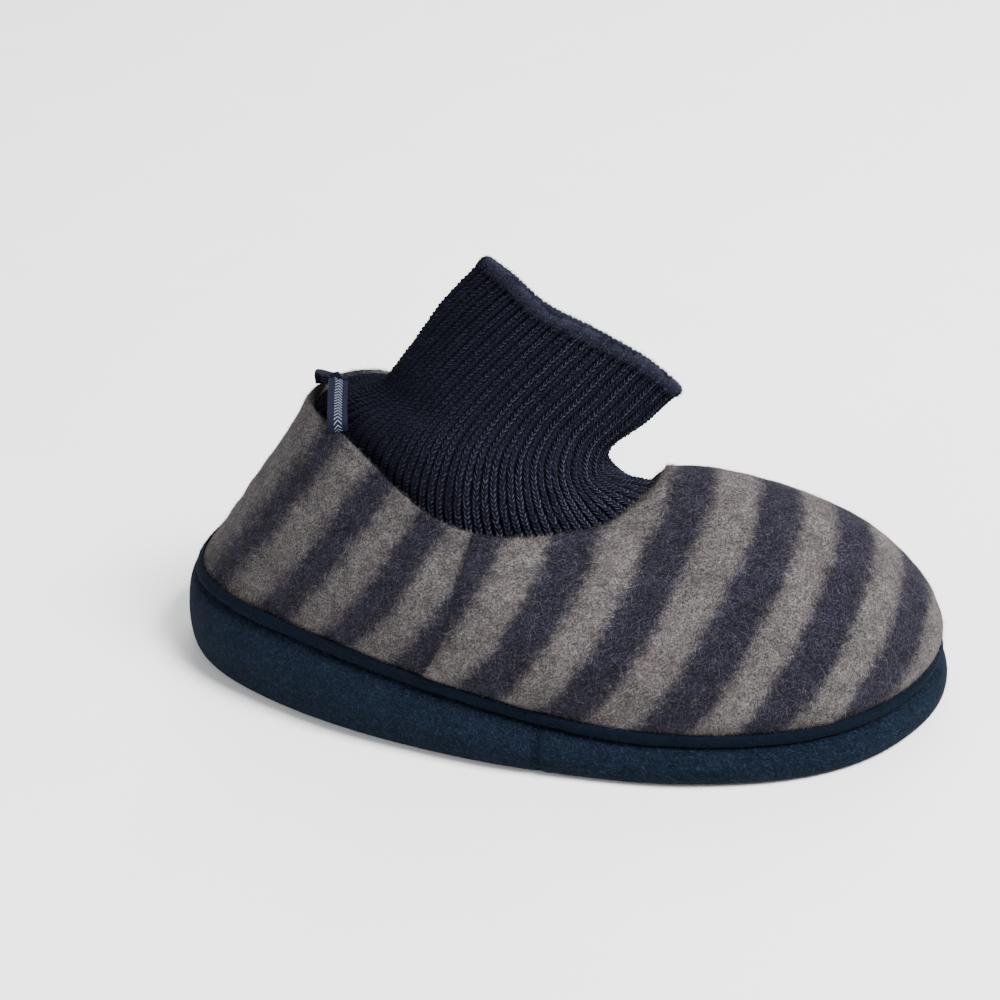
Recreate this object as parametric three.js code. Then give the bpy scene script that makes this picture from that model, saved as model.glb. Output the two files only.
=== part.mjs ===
// A child's slipper sock for the right foot: a striped wool upper on a padded, fleece-covered
// sole, with a slack ribbed knit cuff that leans forward over the instep.
// Millimetres, +X towards the toe, +Z up, -Y the outer side of the foot.
import * as THREE from 'three';

// Sole
const soleLength = 165;
const soleWidth = 76;
const heelPadHeight = 18;
const edgeRound = 4;
const padSwell = 1.7;

// Upper
const upperWall = 2.2;
const featherInset = 2.5;
const heelHeight = 59;
const collarWidth = 50;
const collarLength = 76;
const collarSetBack = 31;
const vampStep = 0.7;
const vampSeamAngle = 75;
const vampSeamLean = 21;
const vampSeamRamp = 1.5;
const vampSeamFade = 0.12;
const rimRound = 0.7;

// Knit cuff
const cuffWall = 2;
const hemThickness = 3;
const cuffHeight = 32;
const cuffTuck = 0.93;
const cuffPassLength = 1.2;

// Seam roll, insole and hanging loop
const rollHeight = 2.6;
const rollThickness = 1.6;
const rollHeelShare = 0.35;
const rollHeelAngle = 35;
const insoleThickness = 3;
const insoleShoulder = 0.9;
const loopTapeWidth = 4;
const loopTapeThickness = 1.1;
const loopHeight = 6;
const loopPlace = 15;
const loopSpread = 30;
const loopLeanLength = 2;
const loopUpright = 0.3;
const loopShoulderRise = 0.75;
const loopShoulderReach = 0.55;

// Gaps between neighbouring pieces
const seatGap = 0.3;
const fitGap = 0.4;

// Fineness of the surfaces
const stationStep = 5;
const upperRows = 12;
const cuffColumns = 64;
const cuffRows = 16;
const rollSides = 8;
const loopSteps = 20;
const searchPasses = 20;

// Outline of the sole: half width over the sine of the angle, as a share of soleWidth, and how
// far the padded side swells past it, as a share of padSwell.
// The angle runs from the back of the heel, 0, to the tip of the toe, 180.
const OUTLINE = [
  { angle: 0, outer: 0.570, inner: 0.570, swell: 0.00 },
  { angle: 45, outer: 0.508, inner: 0.485, swell: 1.00 },
  { angle: 90, outer: 0.538, inner: 0.460, swell: 0.70 },
  { angle: 118, outer: 0.593, inner: 0.520, swell: 0.20 },
  { angle: 150, outer: 0.640, inner: 0.610, swell: 0.00 },
  { angle: 180, outer: 0.545, inner: 0.545, swell: 0.00 },
];

// Height of the sole's top along its length, as a share of heelPadHeight.
const PAD_TOP = [
  { share: 0.00, height: 1.00 },
  { share: 0.20, height: 0.99 },
  { share: 0.40, height: 0.78 },
  { share: 0.58, height: 0.54 },
  { share: 0.75, height: 0.46 },
  { share: 1.00, height: 0.47 },
];

// Side of the sole from the floor up: rise as a share of its height there, inset from the
// outline as a share of edgeRound, and the share of the swell.
const PAD_SIDE = [
  { rise: 0.00, inset: 0.34, swell: 0.70 },
  { rise: 0.03, inset: 0.12, swell: 0.80 },
  { rise: 0.10, inset: -0.08, swell: 0.90 },
  { rise: 0.25, inset: -0.22, swell: 1.00 },
  { rise: 0.50, inset: -0.24, swell: 0.95 },
  { rise: 0.78, inset: -0.02, swell: 0.60 },
  { rise: 0.94, inset: 0.30, swell: 0.20 },
  { rise: 1.00, inset: 0.60, swell: 0.00 },
];

// Collar edge: half width as a share of collarWidth, height on each side as a share of heelHeight.
const COLLAR = [
  { angle: 0, half: 0.42, outer: 1.00, inner: 1.00 },
  { angle: 45, half: 0.43, outer: 1.00, inner: 0.98 },
  { angle: 90, half: 0.50, outer: 0.76, inner: 0.72 },
  { angle: 135, half: 0.42, outer: 0.71, inner: 0.57 },
  { angle: 160, half: 0.41, outer: 0.78, inner: 0.72 },
  { angle: 180, half: 0.40, outer: 0.81, inner: 0.81 },
];

// Handles of the curve that each section of the upper follows, as shares of heelHeight:
// out and up from the feather edge, and out and down from the collar edge, where the inner
// side slumps further.
const SECTION = [
  { angle: 0, footOut: -0.16, footUp: 0.23, edgeOut: 0.09, edgeDown: 0.17, slump: 0.00 },
  { angle: 75, footOut: 0.065, footUp: 0.27, edgeOut: 0.09, edgeDown: 0.17, slump: 0.04 },
  { angle: 130, footOut: 0.075, footUp: 0.33, edgeOut: 0.23, edgeDown: 0.06, slump: 0.22 },
  { angle: 180, footOut: 0.11, footUp: 0.27, edgeOut: 0.55, edgeDown: 0.01, slump: 0.00 },
];

// Cuff sections above the collar: back and front as shares of collarLength from the collar's
// back, their heights above heelHeight as shares of cuffHeight, half the flattened width and the
// shift to the inner side as shares of collarWidth, and the fall of the section towards the
// inner side per millimetre.
const CUFF = [
  { back: 0.21, backUp: 0.12, front: 0.835, frontUp: -0.34, half: 0.34, shift: -0.03, fall: 0.20 },
  { back: 0.32, backUp: 0.40, front: 0.840, frontUp: -0.19, half: 0.23, shift: -0.02, fall: 0.35 },
  { back: 0.425, backUp: 0.74, front: 0.935, frontUp: 0.00, half: 0.15, shift: 0.01, fall: 0.45 },
  { back: 0.53, backUp: 1.00, front: 1.020, frontUp: 0.20, half: 0.105, shift: 0.04, fall: 0.55 },
];

// Reads a column of a table at a place given by its key column, on a smooth curve that is
// level at both ends.
function read(table, key, column, place) {
  const last = table.length - 1;
  let row = 0;
  while (row < last - 1 && place > table[row + 1][key]) {
    row += 1;
  }
  const slope = (k) => {
    if (k === 0 || k === last) {
      return 0;
    }
    return (table[k + 1][column] - table[k - 1][column]) / (table[k + 1][key] - table[k - 1][key]);
  };
  const span = table[row + 1][key] - table[row][key];
  const t = THREE.MathUtils.clamp((place - table[row][key]) / span, 0, 1);
  const rise = t * t * (3 - 2 * t);
  const leave = t * (1 - t) * (1 - t) * span * slope(row);
  const arrive = t * t * (1 - t) * span * slope(row + 1);
  return table[row][column] * (1 - rise) + table[row + 1][column] * rise + leave - arrive;
}

// A turn goes once round the foot: 0 at the heel, 90 on the outer side, 180 at the toe.
const angleOf = (turn) => 180 - Math.abs(180 - THREE.MathUtils.euclideanModulo(turn, 360));
const isInner = (turn) => THREE.MathUtils.euclideanModulo(turn, 360) > 180;
const sideOf = (turn) => (isInner(turn) ? 1 : -1);

// Stations of the foot's sections, the same on both sides, with a close pair at the vamp's seam.
function makeStations() {
  const angles = [vampSeamAngle + vampSeamRamp];
  for (let angle = 0; angle <= 180; angle += stationStep) {
    angles.push(angle);
  }
  angles.sort((a, b) => a - b);
  const inner = angles.slice(1, -1).reverse().map((angle) => 360 - angle);
  return [...angles, ...inner];
}
const STATIONS = makeStations();

// Point of the sole's outline at a turn, on the floor.
function outline(turn) {
  const angle = angleOf(turn);
  const radians = THREE.MathUtils.degToRad(angle);
  const width = soleWidth * read(OUTLINE, 'angle', isInner(turn) ? 'inner' : 'outer', angle);
  return new THREE.Vector3(
    -0.5 * soleLength * Math.cos(radians),
    sideOf(turn) * width * Math.sin(radians),
    0,
  );
}

// Level direction that points out of a closed plan curve at a turn.
function outward(curve, turn) {
  const step = 0.5;
  const along = curve(turn + step).sub(curve(turn - step));
  return new THREE.Vector3(along.y, -along.x, 0).normalize();
}

// Height of the sole's top above the floor at a place along the foot.
function padTop(x) {
  return heelPadHeight * read(PAD_TOP, 'share', 'height', x / soleLength + 0.5);
}

function featherEdge(turn) {
  const point = outline(turn).addScaledVector(outward(outline, turn), -featherInset);
  point.z = padTop(point.x) + seatGap;
  return point;
}

function collarEdge(turn) {
  const angle = angleOf(turn);
  const radians = THREE.MathUtils.degToRad(angle);
  const back = collarSetBack - 0.5 * soleLength;
  return new THREE.Vector3(
    back + 0.5 * collarLength * (1 - Math.cos(radians)),
    sideOf(turn) * collarWidth * read(COLLAR, 'angle', 'half', angle) * Math.sin(radians),
    heelHeight * read(COLLAR, 'angle', isInner(turn) ? 'inner' : 'outer', angle),
  );
}

// Outer face of the upper: v runs from the feather edge, 0, to the collar edge, 1.
function upperFace(turn, v) {
  const angle = angleOf(turn);
  const handle = (column) => heelHeight * read(SECTION, 'angle', column, angle);
  const foot = featherEdge(turn);
  const edge = collarEdge(turn);
  const footHandle = foot.clone().addScaledVector(outward(outline, turn), handle('footOut'));
  footHandle.z += handle('footUp');
  const edgeHandle = edge.clone().addScaledVector(outward(collarEdge, turn), handle('edgeOut'));
  edgeHandle.z -= handle('edgeDown') + (isInner(turn) ? handle('slump') : 0);
  return new THREE.CubicBezierCurve3(foot, footHandle, edgeHandle, edge).getPoint(v);
}

// Directions on the upper's outer face: along its section and out of it.
function upperFrame(turn, v) {
  const turnStep = 0.5;
  const rowStep = 0.01;
  const low = Math.max(v - rowStep, 0);
  const high = Math.min(v + rowStep, 1);
  const round = upperFace(turn + turnStep, v).sub(upperFace(turn - turnStep, v));
  const rise = upperFace(turn, high).sub(upperFace(turn, low)).normalize();
  return { rise, normal: round.cross(rise).normalize() };
}

// Point at a depth under the upper's outer face.
function upperAt(turn, v, depth) {
  return upperFace(turn, v).addScaledVector(upperFrame(turn, v).normal, -depth);
}

// Row of the upper where the point at a depth under its outer face has a given height.
function rowAtHeight(turn, depth, height) {
  let low = 0;
  let high = 0.5;
  for (let pass = 0; pass < searchPasses; pass += 1) {
    const middle = 0.5 * (low + high);
    if (upperAt(turn, middle, depth).z < height) {
      low = middle;
    } else {
      high = middle;
    }
  }
  return low;
}

// A turn moved forward with the lean of the vamp's seam, more towards the collar edge.
function leant(turn, v) {
  const radians = THREE.MathUtils.degToRad(angleOf(turn));
  return turn - sideOf(turn) * vampSeamLean * v * Math.sin(radians) ** 2;
}

// How far the vamp stands proud of the quarter, less towards the feather edge.
function vampProud(turn, v) {
  const past = (angleOf(turn) - vampSeamAngle) / vampSeamRamp;
  const fade = THREE.MathUtils.smoothstep(v, 0, vampSeamFade);
  return vampStep * fade * THREE.MathUtils.smoothstep(past, 0, 1);
}

// A solid from rings of points that each go once round. The rings either close on
// themselves, as a tube's do, or end in two caps of strips from side to side.
function ringSolid(rings, closed) {
  const count = rings[0].length;
  const positions = rings.flat().flatMap((point) => point.toArray());
  const faces = [];
  const quad = (a, b, c, d) => faces.push(a, b, c, a, c, d);
  const steps = closed ? rings.length : rings.length - 1;
  for (let ring = 0; ring < steps; ring += 1) {
    const here = ring * count;
    const next = ((ring + 1) % rings.length) * count;
    for (let k = 0; k < count; k += 1) {
      const after = (k + 1) % count;
      quad(here + k, here + after, next + after, next + k);
    }
  }
  if (!closed) {
    const top = (rings.length - 1) * count;
    capStrips(count, (a, b, c) => faces.push(c, b, a));
    capStrips(count, (a, b, c) => faces.push(top + a, top + b, top + c));
  }
  const geometry = new THREE.BufferGeometry();
  geometry.setAttribute('position', new THREE.Float32BufferAttribute(positions, 3));
  geometry.setIndex(faces);
  geometry.computeVertexNormals();
  return geometry;
}

// Triangles that join each point of a ring to the one across from it.
function capStrips(count, triangle) {
  const half = count / 2;
  for (let k = 0; k < half; k += 1) {
    const far = (count - k) % count;
    const nextFar = count - k - 1;
    if (k > 0) {
      triangle(k, nextFar, far);
    }
    if (k + 1 < half) {
      triangle(k, k + 1, nextFar);
    }
  }
}

const upperRing = (v, depthAt) => STATIONS.map(
  (turn) => upperAt(leant(turn, v), v, depthAt(turn, v)),
);

function makeUpper() {
  const outer = (turn, v) => -vampProud(turn, v);
  const inner = () => upperWall;
  const rings = [];
  for (let row = 0; row <= upperRows; row += 1) {
    rings.push(upperRing(row / upperRows, outer));
  }
  const rim = upperRing(1, () => 0.5 * upperWall);
  rim.forEach((point) => {
    point.z += rimRound;
  });
  rings.push(rim);
  for (let row = upperRows; row >= 0; row -= 1) {
    rings.push(upperRing(row / upperRows, inner));
  }
  for (const ring of [rings[0], rings[rings.length - 1]]) {
    ring.forEach((point, k) => {
      point.z = featherEdge(STATIONS[k]).z;
    });
  }
  return ringSolid(rings, true);
}

function makeSole() {
  const rings = PAD_SIDE.map(({ rise, inset, swell }) => STATIONS.map((turn) => {
    const full = padSwell * read(OUTLINE, 'angle', 'swell', angleOf(turn));
    const out = swell * full - inset * edgeRound;
    const point = outline(turn).addScaledVector(outward(outline, turn), out);
    point.z = rise * padTop(point.x);
    return point;
  }));
  return ringSolid(rings, false);
}

// Rolled seam that runs round the foot where the upper meets the sole, thinner at the heel.
function makeSeamRoll() {
  const sections = STATIONS.map((turn) => {
    const full = THREE.MathUtils.smoothstep(angleOf(turn), 0, rollHeelAngle);
    const half = 0.5 * rollThickness * THREE.MathUtils.lerp(rollHeelShare, 1, full);
    const offset = seatGap + half;
    const height = featherEdge(turn).z + 0.5 * rollHeight;
    const v = rowAtHeight(turn, -offset, height);
    return { centre: upperAt(turn, v, -offset), half, ...upperFrame(turn, v) };
  });
  const rings = [];
  for (let side = 0; side < rollSides; side += 1) {
    const around = (2 * Math.PI * side) / rollSides;
    rings.push(sections.map(({ centre, half, rise, normal }) => centre.clone()
      .addScaledVector(normal, half * Math.cos(around))
      .addScaledVector(rise, 0.5 * rollHeight * Math.sin(around))));
  }
  return ringSolid(rings, true);
}

function makeInsole() {
  const ringAt = (lift, extraInset) => STATIONS.map((turn) => {
    const height = featherEdge(turn).z + lift;
    const depth = upperWall + fitGap + extraInset;
    const point = upperAt(turn, rowAtHeight(turn, depth, height), depth);
    point.z = padTop(point.x) + seatGap + lift;
    return point;
  });
  const rings = [
    ringAt(0, insoleShoulder),
    ringAt(insoleThickness - insoleShoulder, 0),
    ringAt(insoleThickness, insoleShoulder),
  ];
  return ringSolid(rings, false);
}

// Points spread evenly along a closed curve of turns, the same number on both sides.
function spreadEvenly(curve, count) {
  const samples = 360;
  const lengths = [0];
  for (let k = 1; k <= samples; k += 1) {
    const piece = curve((360 * k) / samples).distanceTo(curve((360 * (k - 1)) / samples));
    lengths.push(lengths[k - 1] + piece);
  }
  const points = [];
  let sample = 0;
  for (let k = 0; k < count; k += 1) {
    const wanted = (lengths[samples] * k) / count;
    while (lengths[sample + 1] < wanted) {
      sample += 1;
    }
    const part = (wanted - lengths[sample]) / (lengths[sample + 1] - lengths[sample]);
    points.push(curve((360 * (sample + part)) / samples));
  }
  return points;
}

// Flattened oval section of the cuff, in its own leaning plane.
function cuffSection(row, turn) {
  const start = collarSetBack - 0.5 * soleLength;
  const back = new THREE.Vector3(
    start + row.back * collarLength, 0, heelHeight + row.backUp * cuffHeight);
  const front = new THREE.Vector3(
    start + row.front * collarLength, 0, heelHeight + row.frontUp * cuffHeight);
  const radians = THREE.MathUtils.degToRad(turn);
  const point = back.lerp(front, 0.5 - 0.5 * Math.cos(radians));
  const offset = -row.half * collarWidth * Math.sin(radians);
  point.y = row.shift * collarWidth + offset;
  point.z -= row.fall * offset;
  return point;
}

// Lines that run up the cuff: tucked inside the collar, out at its edge and up to the hem.
function makeCuffLines() {
  const middle = upperWall + fitGap + 0.5 * cuffWall;
  const passing = (turn) => {
    return upperAt(turn, 1, middle).addScaledVector(upperFrame(turn, 1).rise, cuffPassLength);
  };
  const loops = [
    spreadEvenly((turn) => upperAt(turn, cuffTuck, middle), cuffColumns),
    spreadEvenly(passing, cuffColumns),
    ...CUFF.map((row) => spreadEvenly((turn) => cuffSection(row, turn), cuffColumns)),
  ];
  return loops[0].map((point, k) => {
    return new THREE.CatmullRomCurve3(loops.map((loop) => loop[k]), false, 'centripetal');
  });
}

function makeCuff() {
  const lines = makeCuffLines();
  const grid = [];
  for (let row = 0; row <= cuffRows; row += 1) {
    grid.push(lines.map((line) => line.getPoint(row / cuffRows)));
  }
  const faceRing = (row, depth) => grid[row].map((point, k) => {
    const before = grid[row][(k + cuffColumns - 1) % cuffColumns];
    const after = grid[row][(k + 1) % cuffColumns];
    const below = grid[Math.max(row - 1, 0)][k];
    const above = grid[Math.min(row + 1, cuffRows)][k];
    const round = after.clone().sub(before);
    const normal = round.cross(above.clone().sub(below)).normalize();
    return point.clone().addScaledVector(normal, depth);
  });
  const thickness = (row) => (row >= cuffRows - 1 ? hemThickness : cuffWall);
  const rings = [];
  for (let row = 0; row <= cuffRows; row += 1) {
    rings.push(faceRing(row, 0.5 * thickness(row)));
  }
  const hemTop = faceRing(cuffRows, 0);
  hemTop.forEach((point, k) => {
    const along = grid[cuffRows][k].clone().sub(grid[cuffRows - 1][k]).normalize();
    point.addScaledVector(along, 0.5 * hemThickness);
  });
  rings.push(hemTop);
  for (let row = cuffRows; row >= 0; row -= 1) {
    rings.push(faceRing(row, -0.5 * thickness(row)));
  }
  return ringSolid(rings, true);
}

// Small woven loop that stands on the back of the collar, both ends on its edge.
function makeHangLoop() {
  const foot = (turn) => {
    const point = upperAt(turn, 1, 0.5 * upperWall);
    point.z += rimRound + seatGap;
    return point;
  };
  const outer = foot(loopPlace + loopSpread);
  const inner = foot(loopPlace - loopSpread);
  const crown = outer.clone().lerp(inner, 0.5);
  crown.x += loopLeanLength;
  crown.z += loopHeight;
  const shoulder = (end) => {
    const reached = end.clone().lerp(crown, loopShoulderReach);
    return reached.setZ(end.z + loopShoulderRise * loopHeight);
  };
  const upright = (end) => end.clone().setZ(end.z + loopUpright * loopHeight);
  const path = new THREE.CatmullRomCurve3([
    outer, upright(outer), shoulder(outer), crown, shoulder(inner), upright(inner), inner,
  ]);
  const section = new THREE.Shape();
  section.moveTo(-0.5 * loopTapeThickness, -0.5 * loopTapeWidth);
  section.lineTo(0.5 * loopTapeThickness, -0.5 * loopTapeWidth);
  section.lineTo(0.5 * loopTapeThickness, 0.5 * loopTapeWidth);
  section.lineTo(-0.5 * loopTapeThickness, 0.5 * loopTapeWidth);
  section.closePath();
  return new THREE.ExtrudeGeometry(section, { steps: loopSteps, extrudePath: path });
}

const stripedWool = new THREE.MeshStandardMaterial({ color: 0x55555c, roughness: 0.95, metalness: 0 });
const navyFleece = new THREE.MeshStandardMaterial({ color: 0x12202e, roughness: 0.9, metalness: 0 });
const navyRoll = new THREE.MeshStandardMaterial({ color: 0x0d1822, roughness: 0.9, metalness: 0 });
const navyKnit = new THREE.MeshStandardMaterial({ color: 0x1c1f2e, roughness: 0.85, metalness: 0 });
const greyFleece = new THREE.MeshStandardMaterial({ color: 0x33363c, roughness: 0.95, metalness: 0 });
const navyTape = new THREE.MeshStandardMaterial({ color: 0x1a2233, roughness: 0.7, metalness: 0 });

function piece(name, geometry, material) {
  const mesh = new THREE.Mesh(geometry, material);
  mesh.name = name;
  return mesh;
}

const slipper = new THREE.Group();
slipper.add(
  piece('sole', makeSole(), navyFleece),
  piece('seam_roll', makeSeamRoll(), navyRoll),
  piece('upper', makeUpper(), stripedWool),
  piece('insole', makeInsole(), greyFleece),
  piece('cuff', makeCuff(), navyKnit),
  piece('hang_loop', makeHangLoop(), navyTape),
);

// The origin is under the middle of the whole slipper.
const bounds = new THREE.Box3().setFromObject(slipper);
const middle = bounds.getCenter(new THREE.Vector3());
slipper.position.set(-middle.x, -middle.y, -bounds.min.z);

export default slipper;
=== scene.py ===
# A child's slipper sock: striped wool upper, padded fleece sole, ribbed knit cuff and hanging loop.
# Shapes are worked out in millimetres and put into the meshes in metres, in the solids' own frame.
import math

import bpy
import numpy as np
from bpy.props import FloatProperty, FloatVectorProperty, IntProperty, PointerProperty
from mathutils import Matrix, Vector


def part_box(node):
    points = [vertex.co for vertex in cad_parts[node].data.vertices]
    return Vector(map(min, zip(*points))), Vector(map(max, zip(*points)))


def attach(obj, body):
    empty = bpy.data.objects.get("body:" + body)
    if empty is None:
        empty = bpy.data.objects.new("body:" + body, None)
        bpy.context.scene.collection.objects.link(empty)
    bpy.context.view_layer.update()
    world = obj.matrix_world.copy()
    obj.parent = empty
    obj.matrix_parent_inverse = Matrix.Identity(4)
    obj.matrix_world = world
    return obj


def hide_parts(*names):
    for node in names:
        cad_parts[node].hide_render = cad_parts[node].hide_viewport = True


bl_info = {
    "name": "Slipper sock",
    "version": (1, 0, 0),
    "blender": (4, 5, 0),
    "location": "View3D > Sidebar > Slipper",
    "description": "Models a striped wool slipper sock with a ribbed knit cuff",
    "category": "Object",
}

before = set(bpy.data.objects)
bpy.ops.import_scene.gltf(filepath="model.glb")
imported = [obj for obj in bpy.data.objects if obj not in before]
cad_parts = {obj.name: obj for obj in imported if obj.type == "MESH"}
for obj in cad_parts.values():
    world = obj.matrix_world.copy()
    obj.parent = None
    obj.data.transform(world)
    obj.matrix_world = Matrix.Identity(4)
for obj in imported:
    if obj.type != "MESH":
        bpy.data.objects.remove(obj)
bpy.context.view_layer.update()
MM = 0.001

# Sizes of the form, the same as the solids have
SOLE_LENGTH = 165.0
SOLE_WIDTH = 76.0
HEEL_PAD_HEIGHT = 18.0
EDGE_ROUND = 4.0
PAD_SWELL = 1.7
UPPER_WALL = 2.2
FEATHER_INSET = 2.5
HEEL_HEIGHT = 59.0
COLLAR_WIDTH = 50.0
COLLAR_LENGTH = 76.0
COLLAR_BACK = 31.0 - 0.5 * SOLE_LENGTH
VAMP_STEP = 0.7
VAMP_SEAM_ANGLE = 75.0
VAMP_SEAM_LEAN = 21.0
VAMP_SEAM_RAMP = 1.5
CUFF_WALL = 2.0
HEM_THICKNESS = 3.0
CUFF_HEIGHT = 32.0
CUFF_TUCK = 0.93
CUFF_PASS = 1.2
ROLL_HEIGHT = 2.6
ROLL_THICKNESS = 1.6
ROLL_HEEL_SHARE = 0.35
ROLL_HEEL_ANGLE = 35.0
LOOP_WIDTH = 4.0
LOOP_THICKNESS = 1.1
LOOP_HEIGHT = 6.0
LOOP_PLACE = 15.0
LOOP_SPREAD = 30.0
LOOP_LEAN = 2.0
RIM_ROUND = 0.7
SEAT_GAP = 0.3
FIT_GAP = 0.4

# Outline of the sole: half width over the sine of the angle, as a share of SOLE_WIDTH, and the
# swell of its padded side as a share of PAD_SWELL. The angle runs from heel, 0, to toe, 180.
OUTLINE = {
    "angle": (0, 45, 90, 118, 150, 180),
    "outer": (0.570, 0.508, 0.538, 0.593, 0.640, 0.545),
    "inner": (0.570, 0.485, 0.460, 0.520, 0.610, 0.545),
    "swell": (0.00, 1.00, 0.70, 0.20, 0.00, 0.00),
}

# Height of the sole's top along its length, as a share of HEEL_PAD_HEIGHT
PAD_TOP = {
    "share": (0.00, 0.20, 0.40, 0.58, 0.75, 1.00),
    "height": (1.00, 0.99, 0.78, 0.54, 0.46, 0.47),
}

# Side of the sole: rise as a share of its height, inset as a share of EDGE_ROUND, and swell
PAD_SIDE = {
    "rise": (0.00, 0.03, 0.10, 0.25, 0.50, 0.78, 0.94, 1.00),
    "inset": (0.34, 0.12, -0.08, -0.22, -0.24, -0.02, 0.30, 0.60),
    "swell": (0.70, 0.80, 0.90, 1.00, 0.95, 0.60, 0.20, 0.00),
}

# Collar edge: half width as a share of COLLAR_WIDTH, heights as shares of HEEL_HEIGHT
COLLAR = {
    "angle": (0, 45, 90, 135, 160, 180),
    "half": (0.42, 0.43, 0.50, 0.42, 0.41, 0.40),
    "outer": (1.00, 1.00, 0.76, 0.71, 0.78, 0.81),
    "inner": (1.00, 0.98, 0.72, 0.57, 0.72, 0.81),
}

# Handles of the upper's section curves, as shares of HEEL_HEIGHT
SECTION = {
    "angle": (0, 75, 130, 180),
    "footOut": (-0.16, 0.065, 0.075, 0.11),
    "footUp": (0.23, 0.27, 0.33, 0.27),
    "edgeOut": (0.09, 0.09, 0.23, 0.55),
    "edgeDown": (0.17, 0.17, 0.06, 0.01),
    "slump": (0.00, 0.04, 0.22, 0.00),
}

# Cuff sections above the collar, in shares of COLLAR_LENGTH, CUFF_HEIGHT and COLLAR_WIDTH
CUFF = {
    "back": (0.21, 0.32, 0.425, 0.53),
    "backUp": (0.12, 0.40, 0.74, 1.00),
    "front": (0.835, 0.840, 0.935, 1.020),
    "frontUp": (-0.34, -0.19, 0.00, 0.20),
    "half": (0.34, 0.23, 0.15, 0.105),
    "shift": (-0.03, -0.02, 0.01, 0.04),
    "fall": (0.20, 0.35, 0.45, 0.55),
}


# Grey bands across the wool, from edge to edge in millimetres along each piece's slant
VAMP_BANDS = ((-38.9, -29.5), (-19.0, -10.1), (-0.2, 9.9), (21.2, 29.9), (41.4, 50.8),
              (61.6, 72.0), (81.0, 91.0))
QUARTER_BANDS = ((-104.0, -92.8), (-86.8, -79.0), (-70.8, -63.0), (-54.6, -46.2))
BAND_EDGE = 1.3

# Creases and swells of the wool's outer side: angle from the heel (less than
# nothing on the inner side), row from feather edge to collar, half lengths along and across in
# millimetres, lean of the long way in degrees, and height in millimetres, troughs below nothing
WOOL_CREASES = (
    (68, 0.86, 15, 4.0, -8, -0.8),
    (50, 0.93, 17, 3.0, 0, 0.5),
    (80, 0.93, 7, 2.4, 25, -0.7),
    (84, 0.90, 6, 2.4, 35, 0.5),
    (60, 0.52, 12, 5.0, 35, -0.6),
    (74, 0.50, 10, 3.5, 60, -0.5),
    (94, 0.45, 16, 6.0, 55, 0.5),
    (98, 0.10, 34, 3.5, 0, -0.5),
    (40, 0.10, 20, 3.0, 0, -0.4),
    (32, 0.30, 9, 6.0, 20, 0.5),
    (120, 0.70, 16, 5.0, 30, -0.4),
    (148, 0.52, 13, 8.0, 10, 0.5),
    (178, 0.55, 12, 7.0, 0, 0.4),
    (-60, 0.60, 14, 4.5, 25, -0.7),
    (-88, 0.80, 16, 4.0, -10, -0.7),
    (-110, 0.40, 16, 6.0, 20, 0.5),
)

# Creases of the knit: share of the way round from the heel, share of the height, then as above
KNIT_CREASES = (
    (0.13, 0.36, 11, 4.5, 12, -1.3),
    (0.10, 0.16, 12, 4.0, 5, 0.8),
    (0.27, 0.30, 13, 5.0, -8, 0.5),
    (0.44, 0.40, 9, 3.5, -25, -0.6),
    (0.30, 0.78, 9, 5.0, 10, 0.4),
    (0.86, 0.40, 12, 4.5, 0, -0.9),
    (0.70, 0.60, 12, 4.5, 15, -0.6),
)


# Reading the tables
def read(table, key, column, place):
    """Column of a table on a smooth curve that is level at both ends."""
    knots = np.array(table[key], float)
    values = np.array(table[column], float)
    slopes = np.zeros(len(knots))
    slopes[1:-1] = (values[2:] - values[:-2]) / (knots[2:] - knots[:-2])
    row = np.clip(np.searchsorted(knots, place, side="left") - 1, 0, len(knots) - 2)
    span = knots[row + 1] - knots[row]
    t = np.clip((place - knots[row]) / span, 0, 1)
    rise = t * t * (3 - 2 * t)
    leave = t * (1 - t) ** 2 * span * slopes[row]
    arrive = t * t * (1 - t) * span * slopes[row + 1]
    return values[row] * (1 - rise) + values[row + 1] * rise + leave - arrive


def smoothstep(value, low, high):
    t = np.clip((value - low) / (high - low), 0, 1)
    return t * t * (3 - 2 * t)


def unit(vectors):
    return vectors / np.maximum(np.linalg.norm(vectors, axis=-1, keepdims=True), 1e-9)


def points(x, y, z):
    return np.stack(np.broadcast_arrays(x, y, z), axis=-1).astype(float)


# A turn goes once round the foot: 0 at the heel, 90 on the outer side, 180 at the toe
def angle_of(turn):
    return 180 - np.abs(180 - np.mod(turn, 360))


def is_inner(turn):
    return np.mod(turn, 360) > 180


def by_side(table, turn):
    angle = angle_of(turn)
    inner = read(table, "angle", "inner", angle)
    return np.where(is_inner(turn), inner, read(table, "angle", "outer", angle))


def side_sine(turn):
    """Sine of the angle, negative on the outer side."""
    return np.where(is_inner(turn), 1, -1) * np.sin(np.radians(angle_of(turn)))


def outline(turn):
    x = -0.5 * SOLE_LENGTH * np.cos(np.radians(angle_of(turn)))
    return points(x, SOLE_WIDTH * by_side(OUTLINE, turn) * side_sine(turn), 0)


def outward(curve, turn):
    """Level direction out of a closed plan curve."""
    along = curve(turn + 0.5) - curve(turn - 0.5)
    return unit(points(along[..., 1], -along[..., 0], 0))


def pad_top(x):
    return HEEL_PAD_HEIGHT * read(PAD_TOP, "share", "height", x / SOLE_LENGTH + 0.5)


def feather_edge(turn):
    edge = outline(turn) - FEATHER_INSET * outward(outline, turn)
    edge[..., 2] = pad_top(edge[..., 0]) + SEAT_GAP
    return edge


def collar_edge(turn):
    angle = angle_of(turn)
    x = COLLAR_BACK + 0.5 * COLLAR_LENGTH * (1 - np.cos(np.radians(angle)))
    half = COLLAR_WIDTH * read(COLLAR, "angle", "half", angle)
    return points(x, half * side_sine(turn), HEEL_HEIGHT * by_side(COLLAR, turn))


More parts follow.
